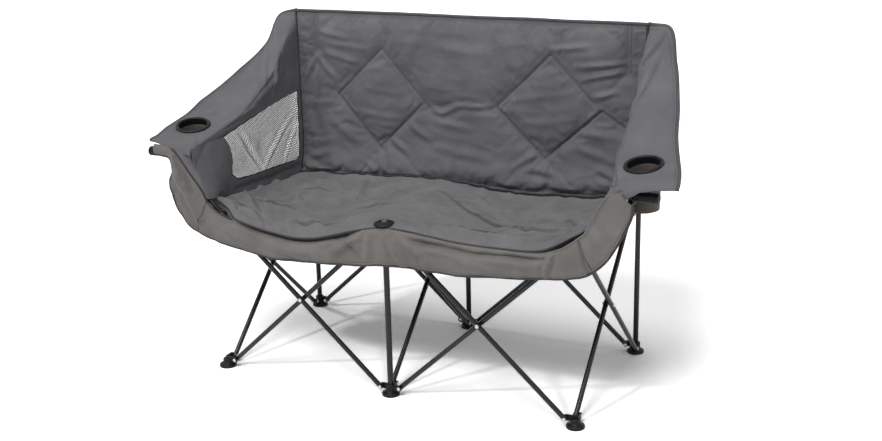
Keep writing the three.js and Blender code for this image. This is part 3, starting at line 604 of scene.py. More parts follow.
backCloth = wovenPolyester("quilted oxford polyester", "#6a6a6d", "#545458")
seatCloth = wovenPolyester("seat oxford polyester", "#6c6c6d", "#565658")
armCloth = wovenPolyester("arm oxford polyester", "#666669", "#525256")
skirtCloth = wovenPolyester("skirt oxford polyester", "#716e6b", "#5b5855")
pouchCloth = wovenPolyester("pouch polyester", "#544d47", "#3e3834", roughness=0.7)
binding = grosgrainTape("polyester binding tape", "#363639", "#242427")
edgeTape = grosgrainTape("polyester edge tape", "#4c4d50", "#393a3d")
webbing = grosgrainTape("polypropylene webbing", "#606164", "#4b4c4f")
netCloth = warpKnitMesh("warp-knit polyester mesh", "#8e8c8e", "#6e6d6f")
coatedSteel = powderCoat("powder-coated steel", "#1a1b1d", "#0f1011")
nylon = mouldedNylon("moulded black nylon", "#17181a", "#08090a")
# light grey nylon for the black cap's button: a painted highlight
capHighlightNylon = mouldedNylon("nylon with painted highlight", "#5e5f61", "#4a4b4d")
rivetSteel = zincedSteel("zinc-plated rivet steel", "#c6c7c9", "#9a9b9e")
thread = grosgrainTape("bonded sewing thread", "#404043", "#2c2c2e")
print("materials made")


# frame: tubes, posts, rivets, feet and hubs

bodyOf = {n: b for b, members in frame["record"]["behaviour"]["bodies"].items() for n in members}


def tubeProfile(radius, length, plug):
    # a coated tube whose ends are closed by rounded nylon plugs
    end = [(0, 0), (radius * 0.55, 0.15 * plug), (radius * 0.86, 0.5 * plug), (radius - 0.4, plug),
           (radius - 0.1, plug + 0.3), (radius, plug + 0.9)]
    return end + [(x, length - z) for x, z in reversed(end)]


def addTube(name, start, direction, length, radius):
    sides = 28
    profile = tubeProfile(radius, length, 2.0)
    verts, faces = placed(revolve(profile, sides), turnTo(direction, start))
    # the three bands of faces at each end are the plugs
    bands = len(profile) - 1
    used = [int(not 3 <= n // sides < bands - 3) for n in range(len(faces))]
    piece = newPiece(name + "_tube", verts, faces, [coatedSteel, nylon], faceMaterial=used, sharp=45)
    dress(piece, bodyOf[name], "coated_steel", name)


def footPlace(key):
    row, column = key.split("_")
    x = dict(left=-1, middle=0, right=1)[column] * plan["pitch"]
    return np.array([x, plan["frontY"] if row == "front" else plan["rearY"], 0.0])


# each tube's foot, the way it leans, its plane, and its layer in the pair
braces = dict(
    arm_leg_left=("front_middle", -1, "across", -1),
    arm_leg_right=("front_middle", 1, "across", 1),
    front_brace_left=("front_left", 1, "across", 1),
    front_brace_right=("front_right", -1, "across", -1),
    side_brace_left_front=("front_left", 1, "along", 1),
    side_brace_left_rear=("rear_left", -1, "along", -1),
    side_brace_right_front=("front_right", 1, "along", -1),
    side_brace_right_rear=("rear_right", -1, "along", 1),
    middle_brace_front=("front_middle", 1, "along", -1),
    middle_brace_rear=("rear_middle", -1, "along", 1),
    rear_brace_left_outer=("rear_left", 1, "across", -1),
    rear_brace_left_inner=("rear_middle", -1, "across", 1),
    rear_brace_right_outer=("rear_right", -1, "across", -1),
    rear_brace_right_inner=("rear_middle", 1, "across", 1))
for name, (key, way, plane, side) in braces.items():
    pin = np.array([way * plan["pinReach"], side * plan["layer"], plan["footPin"]])
    direction = np.array([way * math.sin(lean), 0, math.cos(lean)])
    if plane == "along":
        pin, direction = pin[[1, 0, 2]], direction[[1, 0, 2]]
    length = armLegLength if name.startswith("arm_leg") else braceLength + plan["overhang"]
    start = footPlace(key) + pin - direction * plan["overhang"]
    addTube(name, start, direction, length + plan["overhang"], plan["tubeRadius"])

# each post's foot, diameter and top; it starts a little inside the floor of the foot's socket
posts = dict(rear_post_left=("rear_left", 15, 925), rear_post_middle=("rear_middle", 15, 724),
             rear_post_right=("rear_right", 15, 925), front_post_outer=("front_middle", 16, 436))
postStart = 9.4
for name, (key, diameter, top) in posts.items():
    addTube(name, footPlace(key) + [0, 0, postStart], (0, 0, 1), top - postStart, diameter / 2)
low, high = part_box("front_post_inner")
start = footPlace("front_middle") + [0, 0, low.z / mm]
addTube("front_post_inner", start, (0, 0, 1), (high.z - low.z) / mm, 6)

rivet = dict(half=14.65, head=5.2, dome=2.0, pin=3.0)


def domed(radius, height, base, turns):
    # a rivet head's outline, closed on its axis
    line = [(radius * math.cos(a), base + height * math.sin(a)) for a in turns]
    return line[:-1] + [(0, base + height)]


def rivetForm():
    r = rivet
    upper = [(r["pin"], r["half"]), (r["head"], r["half"])]
    upper += domed(r["head"], r["dome"], r["half"], np.linspace(0, math.pi / 2, 7))
    return revolve([(x, -z) for x, z in reversed(upper)] + upper, 28)


for name, (key, way, plane) in dict(
        rivet_front_left=("front_middle", -1, "across"), rivet_front_right=("front_middle", 1, "across"),
        rivet_rear_left=("rear_middle", -1, "across"), rivet_rear_right=("rear_middle", 1, "across"),
        rivet_side_left=("front_left", 1, "along"), rivet_side_right=("front_right", 1, "along"),
        rivet_middle=("front_middle", 1, "along")).items():
    reach = way * (plan["pinReach"] + span / 2)
    height = plan["footPin"] + rise / 2
    at = footPlace(key) + ([reach, 0, height] if plane == "across" else [0, reach, height])
    verts, faces = placed(rivetForm(), turnTo((0, 1, 0) if plane == "across" else (1, 0, 0), at))
    dress(newPiece(name + "_head", verts, faces, [rivetSteel]), bodyOf[name], "rivet_steel", name)

# the ears' edges, their room beside the tubes, their pins, and the way each faces in degrees
ear = dict(bevel=0.9, clearance=0.4, shank=3, head=5.2, dome=1.9,
           turns=dict(right=0, rear=90, left=180, front=270))


def earParts(height, ears, thickness):
    # moulded ears with a riveted pin each, towards the neighbours they carry
    r, reach = plan["earRadius"], plan["pinReach"]
    outline = [(0, height - r), (reach * 0.5, height - r)]
    for a in np.linspace(-math.pi / 2, math.pi / 2, 14):
        outline.append((reach + r * math.cos(a), height + r * math.sin(a)))
    outline += [(reach * 0.5, height + r), (0, height + r)]
    parts = []
    for direction, side in ears:
        side = -side if direction in ("left", "rear") else side
        face = side * (plan["tubeGap"] / 2 - ear["clearance"])
        middle = face - side * thickness / 2
        spin = Matrix.Rotation(math.radians(ear["turns"][direction]), 4, "Z")
        plate = slab(outline, thickness, ear["bevel"])
        parts.append((*placed(plate, spin @ Matrix.Translation((0, middle, 0))), 0))
        far = side * (plan["layer"] + plan["tubeRadius"] + ear["clearance"])
        back = face - side * thickness
        shank = revolve([(0, 0), (ear["shank"], 0), (ear["shank"], 1), (0, 1)], 20)
        shank[0][:, 2] *= abs(far - back)
        parts.append((*placed(shank, spin @ turnTo((0, side, 0), (reach, back, height))), 1))
        for start, out in ((far, side), (back, -side)):
            form = [(0, 0), (ear["head"], 0)]
            form += domed(ear["head"], ear["dome"], 0, np.linspace(0.1, math.pi / 2, 6))
            head = revolve(form, 24)
            parts.append((*placed(head, spin @ turnTo((0, out, 0), (reach, start, height))), 1))
    return parts


def addMoulding(name, key, form, sides, ears):
    verts, faces, used = gathered([(*revolve(form, sides), 0)] + ears)
    verts = verts + footPlace(key)
    piece = newPiece(name + "_moulding", verts, faces, [nylon, rivetSteel], faceMaterial=used)
    dress(piece, bodyOf[name], "black_plastic", name)


# each foot's ears, with the layer of the tube that each carries, and the bores of the sockets
feet = dict(front_left=[("right", 1), ("rear", 1)], front_middle=[("left", -1), ("right", 1), ("rear", -1)],
            front_right=[("left", -1), ("rear", -1)], rear_left=[("right", -1), ("front", -1)],
            rear_middle=[("left", 1), ("right", 1), ("front", 1)], rear_right=[("left", -1), ("front", 1)])
sockets = dict(front_middle=8.4, rear_left=7.9, rear_middle=7.9, rear_right=7.9)
footForm = dict(radius=24, thickness=10, boss=13, bossTop=32, stubTop=25, earThickness=7.5)
for key, ears in feet.items():
    f = footForm
    thick, boss, radius = f["thickness"], f["boss"], f["radius"]
    height = f["bossTop"] if key in sockets else f["stubTop"]
    form = [(0, 0), (radius - 1, 0), (radius, 1), (radius, 6.2), (radius - 1.2, 8.2),
            (radius - 4.5, thick - 0.4), (18, thick + 0.6), (15, thick + 2.4),
            (boss, thick + 6), (boss, height - 2.5), (boss - 1.6, height - 0.6)]
    if key in sockets:
        bore = sockets[key]
        form += [(bore + 0.5, height), (bore, height - 0.6), (bore, thick), (0, thick)]
    else:
        form += [(boss - 4, height + 0.6), (boss - 8, height + 1.2), (0, height + 1.4)]
    addMoulding("foot_" + key, key, form, 48, earParts(plan["footPin"], ears, f["earThickness"]))

# hubs with a bore sit round the posts, and the front corner ones are solid stubs
bores = dict(front_middle=6.4, rear_left=8.0, rear_middle=8.0, rear_right=8.0)
hubForm = dict(below=16, above=8, stub=-4, radius=12.4, stubRadius=11.6)  # heights are from the pins
for key in ("front_left", "front_right", "front_middle", "rear_left", "rear_middle", "rear_right"):
    bottom = plan["hubPin"] - hubForm["below"]
    if key in bores:
        bore, outer, top = bores[key], hubForm["radius"], plan["hubPin"] + hubForm["above"]
        form = [(bore, bottom + 0.5), (bore + 0.5, bottom), (outer - 1, bottom), (outer, bottom + 1),
                (outer, top - 1), (outer - 1, top), (bore + 0.5, top), (bore, top - 0.5), (bore, bottom + 0.5)]
    else:
        outer, top = hubForm["stubRadius"], plan["hubPin"] + hubForm["stub"]
        form = [(0, bottom), (outer - 1, bottom), (outer, bottom + 1), (outer, top - 1.4), (outer - 1.4, top),
                (0, top)]
    # a hub carries the other tube of each pair
    ears = [(direction, -side) for direction, side in feet[key]]
    addMoulding("hub_" + key, key, form, 40, earParts(plan["hubPin"], ears, plan["earThickness"]))

armEnd = dict(radius=13, reach=50, inner=13.5, ribs=6, ribDepth=1.1)
for label, side in bothSides:
    a = armEnd
    radius, reach, groove = a["radius"], a["reach"], a["radius"] - a["ribDepth"]
    form = [(0, -a["inner"]), (radius - 1.5, -a["inner"]), (radius, -a["inner"] + 1.5)]
    for n in range(1, a["ribs"] + 1):
        z = n * (reach / (a["ribs"] + 1))
        form += [(radius, z - 1.7), (groove, z - 0.9), (groove, z + 0.9), (radius, z + 1.7)]
    form += [(radius, reach - 3), (radius - 0.9, reach - 1), (radius - 3, reach), (5.5, reach),
             (4.8, reach - 1.5), (0, reach - 1.5)]
    at = (side * armEndX, plan["frontY"] + side * plan["layer"], armEndZ)
    verts, faces = placed(revolve(form, 48), turnTo((side, 0, 0), at))
    piece = newPiece(f"arm_end_{label}_plug", verts, faces, [nylon])
    dress(piece, f"arm_leg_{label}", "black_plastic", f"arm_end_{label}")

# the cap's brim, its groove, and the button in its middle, grey as a painted highlight
cap = dict(radius=28, seat=476, sides=56, buttonBand=14)
radius, z = cap["radius"], cap["seat"]
form = [(0, z), (radius - 1, z), (radius, z + 1), (radius, z + 2.4)]
form += [(radius * math.cos(t), z + 3 + 7.5 * math.sin(t)) for t in np.linspace(0.12, 1.0, 7)]
form += [(13.4, z + 10.2), (12.2, z + 9.2), (11.6, z + 5.6), (9.4, z + 5.2), (8.6, z + 9.0), (7.4, z + 11.6),
         (4, z + 13.2), (0, z + 13.6)]
verts, faces = placed(revolve(form, cap["sides"]), Matrix.Translation(footPlace("front_middle").tolist()))
highlightFaces = [int(n // cap["sides"] >= cap["buttonBand"]) for n in range(len(faces))]
piece = newPiece("seat_cap_dome", verts, faces, [nylon, capHighlightNylon], faceMaterial=highlightFaces)
dress(piece, "hub_front_middle", "black_plastic", "seat_cap")
print("frame dressed")


# padded cloth: a bag of two sheets held at its seams and blown up a little

def inflate(name, top, under, sewn, frames, cap, slack):
    # slack is how much larger than its place the cloth is cut, so that it buckles
    rows, cols = top.shape[:2]
    rest = np.concatenate([top.reshape(-1, 3), under.reshape(-1, 3)])
    bag = newPiece(name, rest, outward(shellFaces(rows, cols), top, under), [])
    held = bag.vertex_groups.new(name="sewn")
    lining = list(range(rows * cols, 2 * rows * cols))
    held.add(np.flatnonzero(sewn.ravel()).tolist() + lining, 1.0, "REPLACE")
    blown = bag.modifiers.new("blown", "CLOTH")
    settings = dict(quality=5, mass=0.3, tension_stiffness=12, compression_stiffness=12, shear_stiffness=4,
                    bending_stiffness=0.3, air_damping=2, vertex_group_mass="sewn", use_pressure=True,
                    uniform_pressure_force=4.0, shrink_min=-slack)
    for key, value in settings.items():
        setattr(blown.settings, key, value)
    blown.settings.effector_weights.gravity = 0
    blown.collision_settings.use_collision = False
    blown.point_cache.frame_start = 1
    blown.point_cache.frame_end = frames
    for step in range(1, frames + 1):
        scene.frame_set(step)
    shown = bag.evaluated_get(bpy.context.evaluated_depsgraph_get()).to_mesh()
    got = np.zeros(len(rest) * 3)
    shown.vertices.foreach_get("co", got)
    moved = got.reshape(-1, 3) / mm - rest
    far = np.linalg.norm(moved, axis=1, keepdims=True)
    moved *= np.minimum(1, cap * np.tanh(far / cap) / np.maximum(far, 1e-6))
    scene.frame_set(1)
    bpy.data.objects.remove(bag)
    print(f"{name} blown up: most {far.max():.1f} mm, middle {np.median(far[:rows * cols]):.1f} mm")
    return top + moved[:rows * cols].reshape(rows, cols, 3)


# sizes in mm; cap is the most that the cloth may puff out, and frames is how long it is blown up
back = dict(halfWidth=537, top=944, rear=252.95, edge=7, pad=11, cap=13, push=38, cols=135, rows=61,
            frames=20, slack=0.03, finer=2)
# the bottom edge sags between the frame's hubs, and the seat's cloth pulls it forward
backBottom = dict(x=[-537, -300, -211, -100, -25, 100, 193, 300, 441, 537],
                  z=[452, 458, 460, 464, 468, 462, 457, 462, 469, 471])
# sewn lines in X and Z: two diamonds, and the sleeves of the rear posts
backSeams = [
    [(-253, 840), (-404, 696)], [(-404, 696), (-262, 537)], [(-268, 546), (-118, 690)],
    [(-104, 672), (-253, 840)], [(268, 847), (107, 690)], [(107, 690), (252, 551)], [(251, 552), (416, 698)],
    [(396, 716), (268, 847)], [(416, 698), (482, 657)]]
seamDepths = [3.0, 6.8, 4.2, 3.8, 3.4, 4.8, 6.8, 3.4, 4.2]  # the padding hangs over the outer lower seams
sleeveSeams = [
    [(-476, 940), (-476, 812)], [(-465, 940), (-465, 812)], [(484, 940), (484, 806)],
    [(495, 940), (495, 806)]]
# creases in X and Z, with height and width in mm
backCreases = [
    ([(-469, 812), (-514, 735)], 6.5, 8), ([(-469, 812), (-405, 742)], 7, 9),
    ([(-469, 808), (-470, 690)], 6, 9), ([(-452, 884), (-368, 866)], 4.5, 9),
    ([(-440, 822), (-334, 797)], 5, 9), ([(-420, 850), (-310, 838)], 3.4, 8),
    ([(-315, 788), (-226, 778)], 1.8, 9), ([(-355, 648), (-199, 638)], 2.2, 10),
    ([(-300, 720), (-180, 712)], 1.4, 9), ([(-268, 538), (-246, 476)], 6.5, 9),
    ([(-305, 500), (-273, 474)], 5, 8), ([(-440, 520), (-500, 500)], 5.5, 10),
    ([(-20, 690), (92, 690)], 6, 8), ([(-116, 682), (-59, 664), (-8, 686)], 6.5, 9),
    ([(-90, 640), (30, 622)], 4, 11), ([(274, 862), (377, 876)], 4.4, 8), ([(343, 818), (478, 832)], 5.4, 8),
    ([(349, 782), (478, 811)], 6, 8), ([(395, 735), (462, 756)], 5.4, 8), ([(-228, 575), (-172, 540)], 5, 9),
    ([(-166, 625), (-100, 583)], 4.8, 10), ([(208, 508), (288, 500)], -7, 10),
    ([(415, 524), (455, 508)], -6.5, 8), ([(165, 522), (240, 574)], 5, 10),
    ([(160, 720), (340, 742)], 1.8, 11), ([(180, 650), (330, 668)], 2.0, 11),
    ([(-70, 560), (90, 540)], 4, 13), ([(330, 600), (470, 560)], 4, 12), ([(300, 640), (455, 628)], 3.2, 10),
    ([(-160, 862), (110, 838)], 3.2, 15), ([(-430, 620), (-340, 560)], 4.4, 12),
    ([(-500, 640), (-490, 540)], 4.8, 12), ([(255, 548), (262, 492)], 6, 9)]
backSewn = dict(body="rear_middle", slot="quilted_cloth", squash=backSquash)
b = back


def backLow(x):
    return through(backBottom["x"], backBottom["z"], x)


def backPush(x, z, low):
    # forward at the bottom, rolled under at the very edge, and less towards the sides
    share = np.clip((z - low) / 120, 0, 1)
    rolled = (1 - share) ** 2 - 0.42 * (1 - smooth(z - low, 0, 17))
    return b["push"] * rolled * (1 - 0.45 * smooth(np.abs(x), 500, b["halfWidth"]))


across = np.linspace(-b["halfWidth"], b["halfWidth"], b["cols"])[None, :]
upward = np.linspace(0, 1, b["rows"])[:, None]
gridX = np.broadcast_to(across, (b["rows"], b["cols"]))
gridLow = backLow(gridX)
gridZ = mix(gridLow, b["top"], upward)
full = padding((gridX + b["halfWidth"]) / (2 * b["halfWidth"])) * padding(upward)
rearY = b["rear"] - backPush(gridX, gridZ, gridLow)
front = np.stack([gridX, rearY - mix(b["edge"], b["pad"], full), gridZ], -1)
lining = np.stack([gridX, rearY - 1.0, gridZ], -1)
nearSeam = toSeams(np.stack([gridX, gridZ], -1), backSeams + sleeveSeams)
sewn = nearSeam < 5.5
sewn[[0, -1, -2, -3]] = True
sewn[:, [0, -1]] = True
puffed = inflate("back_bag", front, lining, sewn, b["frames"], b["cap"], b["slack"])
backFine = refine(puffed, b["finer"])
fineRear = refine(rearY[..., None], b["finer"])[..., 0]
flat = backFine[..., [0, 2]]
edgeFade = (smooth(b["halfWidth"] - np.abs(flat[..., 0]), 0, 30) * smooth(b["top"] - flat[..., 1], 14, 50)
            * smooth(flat[..., 1] - backLow(flat[..., 0]), 0, 20))
wrinkled = creased(flat, backCreases) + 1.8 * ripple(flat * [0.6, 1.3], 60, 1)
wrinkled = wrinkled + 3.0 * ripple(flat * [0.5, 1.2], 150, 2)
wrinkled += 2.4 * (puckered(flat * [0.75, 1.1], 110, 3) - 0.35)
wrinkled *= edgeFade * (0.25 + 0.75 * smooth(toSeams(flat, backSeams), 2, 22))
groove = np.max([deep * np.exp(-(toSegment(flat, *line)[0] / 3.4) ** 2)
                 for line, deep in zip(backSeams, seamDepths)], 0)
groove += 1.8 * np.exp(-(toSeams(flat, sleeveSeams) / 3.2) ** 2)
backFine[..., 1] += groove - wrinkled
backFine[..., 1] = np.minimum(backFine[..., 1], fineRear - 2.2)
liner = np.stack([flat[..., 0], fineRear - 0.6 + 0.9 * ripple(flat, 120, 4) * edgeFade, flat[..., 1]], -1)
piece = shell("back_quilt", backFine, liner, [backCloth])
dress(piece, **backSewn, stoodFor="back_panel")


def onBack(line, count):
    p = evenly(line, count)
    low = backLow(p[:, 0])
    col = (p[:, 0] + b["halfWidth"]) / (2 * b["halfWidth"]) * (backFine.shape[1] - 1)
    row = (p[:, 1] - low) / (b["top"] - low) * (backFine.shape[0] - 1)
    return sampleGrid(backFine, row, col) - [0, 0.1, 0]


addStitches(backSewn, "back_stitches", [(onBack(line, 60), (0, -1, 0)) for line in backSeams + sleeveSeams])
backTrim = dict(top=(9.5, 12.5), side=(8, 10))  # width and height
topX = np.linspace(-b["halfWidth"] - 4, b["halfWidth"] + 4, 160)
topY = b["rear"] - b["edge"] / 2 - 0.4
topLine = np.stack([topX, np.full(len(topX), topY), np.full(len(topX), b["top"] - 3.4)], 1)
topLine[:, 2] += 1.0 * ripple(topLine[:, :2], 140, 6) - 1.0 * smooth(np.abs(topX), 380, 537)
addTrim(backSewn, "back_top_binding", topLine, (0, 1, 0), *backTrim["top"], edgeTape)
for label, side in bothSides:
    line = backFine[:, 0 if side < 0 else -1][::b["finer"]] + [side * 1.0, 2.0, 0]
    line[:, 0] += 0.8 * ripple(line[:, 1:], 70, 8 + side)
    addTrim(backSewn, f"back_side_piping_{label}", line[:-1], (0, 1, 0), *backTrim["side"], binding)
print("back done")

# sleeves on the rear posts, behind the back
sleeve = dict(inner=8.0, wall=1.6, top=928, length=122)
for label, side in bothSides:
    s = sleeve
    inner, top = s["inner"], s["top"]
    heights = np.linspace(top - s["length"], top + 2.4, 26)
    form = [(inner, top - 4), (inner, heights[0] + 1), (inner + 0.4, heights[0])]
    form += [(inner + s["wall"], z) for z in heights] + [(inner - 2, top + 3.6), (0, top + 4)]
    verts, faces = revolve(form, 36)
    wave = ripple(verts, 26, 11 if side < 0 else 12)
    away = np.linalg.norm(verts[:, :2], axis=1) > inner + 0.8
    verts[:, :2] *= 1 + (0.05 * np.clip(wave, -0.5, 1) * away)[:, None]
    uv = np.stack([np.arctan2(verts[:, 1], verts[:, 0]) * inner, verts[:, 2]], 1)
    piece = newPiece(f"post_sleeve_{label}", verts + footPlace(f"rear_{label}"), faces, [backCloth], uv)
    dress(piece, f"rear_{label}", "quilted_cloth", f"post_pocket_{label}")

# seat: one padded cloth over both halves, cut on the middle line
seat = dict(halfWidth=545, frontY=-274.55, legY=-238.8, rearY=241, edge=6, pad=11, cap=10, sag=12, roll=8,
            piping=(4.2, 4.2), sidePiping=(4, 4), slot=11, rearThick=4.5, tuckZ=474.0, capRoom=26,
            cols=137, rows=65, frames=16, slack=0.008, finer=3, shadeTapeHigh=5, facingDrop=42, facingThick=1.6)
# top of the front edge across the seat, which hangs lower on the left as the cloth has stretched there
seatFront = dict(
    x=[-545, -520, -500, -470, -430, -396, -325, -253, -200, -148, -90, -41,
       0, 46, 141, 210, 321, 440, 480, 500, 520, 545],
    z=[500, 486, 473, 458, 446, 437, 424, 418, 424, 438, 456, 469,
       476, 477, 468, 461, 459, 468, 484, 496, 508, 528])
# height of the seat's side edges, from front to rear
seatSide = dict(d=[0, 0.06, 0.2, 0.35, 0.6, 0.93, 1], z=[500, 482, 470, 465, 458, 449, 452])
# folds in X and Y, with height, overlap and reach in mm
seatLaps = [
    ([(-60, 140), (-21, 118), (76, 29), (146, -29),
      (234, -77), (299, -100), (400, -124), (470, -130)], 6.5, 7, 34),
    ([(110, -186), (223, -204), (312, -200), (430, -202)], 5.5, 6, 26),
    ([(-340, -186), (-250, -212), (-150, -196)], 5, 6, 26),
    ([(-525, -186), (-440, -205), (-372, -236)], 7, 7, 24),
    ([(-490, -150), (-420, -122), (-330, -112)], 5.5, 6, 30),
    ([(330, -70), (400, -60), (500, -92)], 5.5, 6, 30), ([(250, -158), (340, -146), (470, -168)], 5, 6, 26),
    ([(-230, -60), (-120, -40), (-60, -70)], 3.5, 5, 40), ([(-450, 30), (-380, 60), (-300, 40)], 4, 5, 40)]
# creases in X and Y, with height and width in mm
seatCreases = [
    ([(336, -101), (427, -80), (490, -40)], 8, 14), ([(133, -222), (276, -247), (418, -223)], 6.4, 8),
    ([(298, -168), (360, -120)], 5, 9), ([(-348, -150), (-200, -228)], 5, 9),
    ([(-470, -215), (-400, -228)], 5.6, 9), ([(-430, -136), (-400, 20)], 4, 12),
    ([(402, 69), (470, 200)], 5, 12), ([(60, 153), (245, -20)], 4.4, 13),
    ([(300, -225), (470, -205)], 5.2, 7), ([(360, -150), (500, -160)], 5.4, 9),
    ([(330, 20), (480, 60)], 5, 12), ([(-500, -180), (-520, 60)], 5, 12),
    ([(-300, 200), (-250, 60)], 3.8, 13), ([(-60, 210), (-150, 60)], 3.6, 13),
    ([(20, -215), (110, -238)], 4, 7), ([(-20, -220), (-120, -240)], 3.8, 7),
    ([(-505, -130), (-440, -190)], 5.6, 8)]


def seatGrid():
    q = seat
    x = np.linspace(-q["halfWidth"], q["halfWidth"], q["cols"])[None, :]
    d = np.linspace(0, 1, q["rows"])[:, None]
    x, d = np.broadcast_arrays(x, d)
    front = through(seatFront["x"], seatFront["z"], x)
    corner = smooth(np.abs(x), 440, 500)
    y = mix(mix(q["frontY"], q["legY"], corner), q["rearY"], d)
    between = np.sin(np.pi * np.clip(np.abs(x) / plan["pitch"], 0, 1)) ** 2
    rear = backLow(x) - 8 - q["slot"] * smooth(x, -120, 20)
    level = mix(front, rear, smooth(d, -0.12, 0.9)) - q["sag"] * np.sin(np.pi * d) * between
    brim = through(seatSide["d"], seatSide["z"], d) + 4 * np.sign(x)
    level = mix(level, brim, smooth(np.abs(x), 440, q["halfWidth"]) * smooth(d, 0, 0.05))
    rolled = q["roll"] * (smooth(d, -0.02, 0.05) - 0.2) * (1 - smooth(d, 0.05, 0.4))
    return np.stack([x, y, mix(level, q["tuckZ"], smooth(d, 0.968, 1)) + rolled], -1), d


top, d = seatGrid()
full = padding((top[..., 0] + seat["halfWidth"]) / (2 * seat["halfWidth"])) * padding(d)
thick = mix(mix(seat["edge"], seat["pad"], full), seat["rearThick"], smooth(d, 0.86, 1))
under = top - np.stack([0 * thick, 0 * thick, thick], -1)
sewn = np.hypot(top[..., 0], top[..., 1] - plan["frontY"]) < seat["capRoom"]
sewn[[0, -1]] = True
sewn[:, [0, -1]] = True
puffed = inflate("seat_bag", top, under, sewn, seat["frames"], seat["cap"], seat["slack"])
fine = refine(puffed, seat["finer"])
underFine = refine(under, seat["finer"])
flat = fine[..., :2]
depth = np.linspace(0, 1, fine.shape[0])[:, None]
edgeFade = smooth(seat["halfWidth"] - np.abs(flat[..., 0]), 0, 24) * smooth(depth, 0.0, 0.05)
edgeFade = edgeFade * smooth(1 - depth, 0, 0.05)
capAway = smooth(np.hypot(flat[..., 0], flat[..., 1] - plan["frontY"]), seat["capRoom"], 60)
wrinkled = 1.7 * creased(flat, seatCreases) + 3.6 * ripple(flat * [0.7, 1.2], 90, 21)
wrinkled = wrinkled + 3.4 * ripple(flat, 220, 22)
wrinkled += 10.0 * (puckered(flat * [0.8, 1.1], 130, 23) - 0.35)
# short gathers where the cloth is sewn to its front piping
wrinkled += 2.6 * ripple(flat * [1.0, 0.12], 34, 24) * np.exp(-(depth / 0.07) ** 2)
lift, shift = lapped(flat, seatLaps)
fine[..., 2] += (wrinkled + 1.6 * lift) * edgeFade * capAway
fine[..., :2] += shift * (edgeFade * capAway)[..., None]
half = fine.shape[1] // 2
# each half's columns, the width of its dark rear tape of painted shade, and its facing: where it starts, how
# far it leans, its cloth
seatHalves = dict(
    left=dict(cut=slice(0, half + 1), shadeTapeWide=4.5, facingFrom=452, facingLean=3, facing=seatCloth),
    right=dict(cut=slice(half, None), shadeTapeWide=9, facingFrom=230, facingLean=16, facing=binding))
for label, own in seatHalves.items():
    seatSewn = dict(body=f"seat_{label}", slot="seat_cloth", squash=seatSquash)
    topHalf = fine[:, own["cut"]]
    piece = shell(f"seat_pad_{label}", topHalf, underFine[:, own["cut"]], [seatCloth])
    dress(piece, **seatSewn, stoodFor=f"seat_{label}")
    edge = topHalf[0] - [0, 1.0, 3.0]
    addTrim(seatSewn, f"seat_front_piping_{label}", edge, (0, 0.35, 1), *seat["piping"], binding)
    brim = fine[:, 0 if label == "left" else -1][::seat["finer"]] + [0, 0, 1.5]
    addTrim(seatSewn, f"seat_side_piping_{label}", brim, (0, 0, 1), *seat["sidePiping"], binding)
    # a dark binding tape along the seat's rear: painted shade for the crease where seat and back meet, wider
    # where the cloth hangs away
    rearShadeLine = topHalf[int(0.95 * len(fine))][::seat["finer"]] + [0, 0, own["shadeTapeWide"] / 2 + 0.5]
    section = own["shadeTapeWide"], seat["shadeTapeHigh"]
    addTrim(seatSewn, f"seat_rear_shade_tape_{label}", rearShadeLine, (0, 1, 0), *section, binding)
    # a facing hangs under the seat's front edge, behind the skirt and the arm leg; the right one is dark
    # binding, painted shade in the gap under the seat's corner
    edge = edge[np.abs(edge[:, 0]) > own["facingFrom"]]
    fall = np.linspace(0, 1, 12)[:, None, None] * [0, own["facingLean"], -seat["facingDrop"]]
    hung = edge[None] + fall + [0, 3, -1]
    hung[..., 1] += 1.6 * ripple(hung * [1, 1, 0.4], 30, 26)
    facing = clothOf(f"seat_corner_facing_{label}", hung, seat["facingThick"], own["facing"])
    dress(facing, **seatSewn)
print("seat done")


# arms: slung cloth with an inner face and a top that meet in a crest, and lie flat round the cup
arm = dict(thickness=2.6, round=0.07, hem=13, flap=9, tape=(10.5, 5.0), hole=45, crest=(8, 3.4),
           rows=160, cols=64)
# how high the crest stands over the inner edge, from rear to front
armCrest = dict(along=[0, 0.06, 0.13, 0.24, 0.35, 0.5, 0.6, 0.8, 1],
                rise=[203, 185, 159, 95, 67, 35, 20, 11, 9])
# how far the front of each arm stands out beyond its even line, and where along it that starts
armSpread = dict(left=dict(inner=0, outer=-24, start=0.86), right=dict(inner=36, outer=42, start=0.55))
# where the outer edge bows out, over what share of its length, how far, and how far its rear corner stands up
armBow = dict(left=(0.68, 0.16, 12, 0), right=(0.5, 0.2, 8, 9))
yShift = 2.95  # the middle of the frame lies this far behind the origin
armTip = np.array([armEndX + 56, -277.5 + yShift, armEndZ + 38])
armInner = np.array([[538.5, 240 + yShift, 705], [575.6, -277.5 + yShift, armEndZ + 9]])
seamTop = np.array([538.5, 250 + yShift, 941])
armWing = seamTop + [84.5, -38, -92]
hang = [armWing + (armTip - armWing) * t + np.array([14, 0, -38]) * math.sin(math.pi * t)
        for t in (0, 0.25, 0.5, 0.75, 1)]
armOuter = curveThrough([seamTop, seamTop + [57, -3, -16]] + hang, 400)
cupCentre = np.array([650.9, -155.6 + yShift, 664.0])
cupNormal = unit(np.array([-0.080, -0.206, 0.970]))


def innerLine(along, label):
    p = mix(armInner[0], armInner[1], np.asarray(along, float)[..., None])
    p[..., 0] += armSpread[label]["inner"] * smooth(along, 0.6, 1)
    return p


def outerSpread(along, label):
    return armSpread[label]["outer"] * smooth(along, armSpread[label]["start"], 1.02)


def crestRise(along):
    return through(armCrest["along"], armCrest["rise"], along)


def crestShare(along, label):
    # how far across the arm its crest lies
    up = crestRise(along)
    outer = through(np.linspace(0, 1, len(armOuter)), armOuter, along)
    outer[:, 0] += outerSpread(along, label)
    crest = innerLine(along, label) + np.stack([0 * up, 0 * up, up], 1)
    second = np.linalg.norm(outer - crest, axis=1)
    return np.clip(up / (up + second), 0.06, 1)


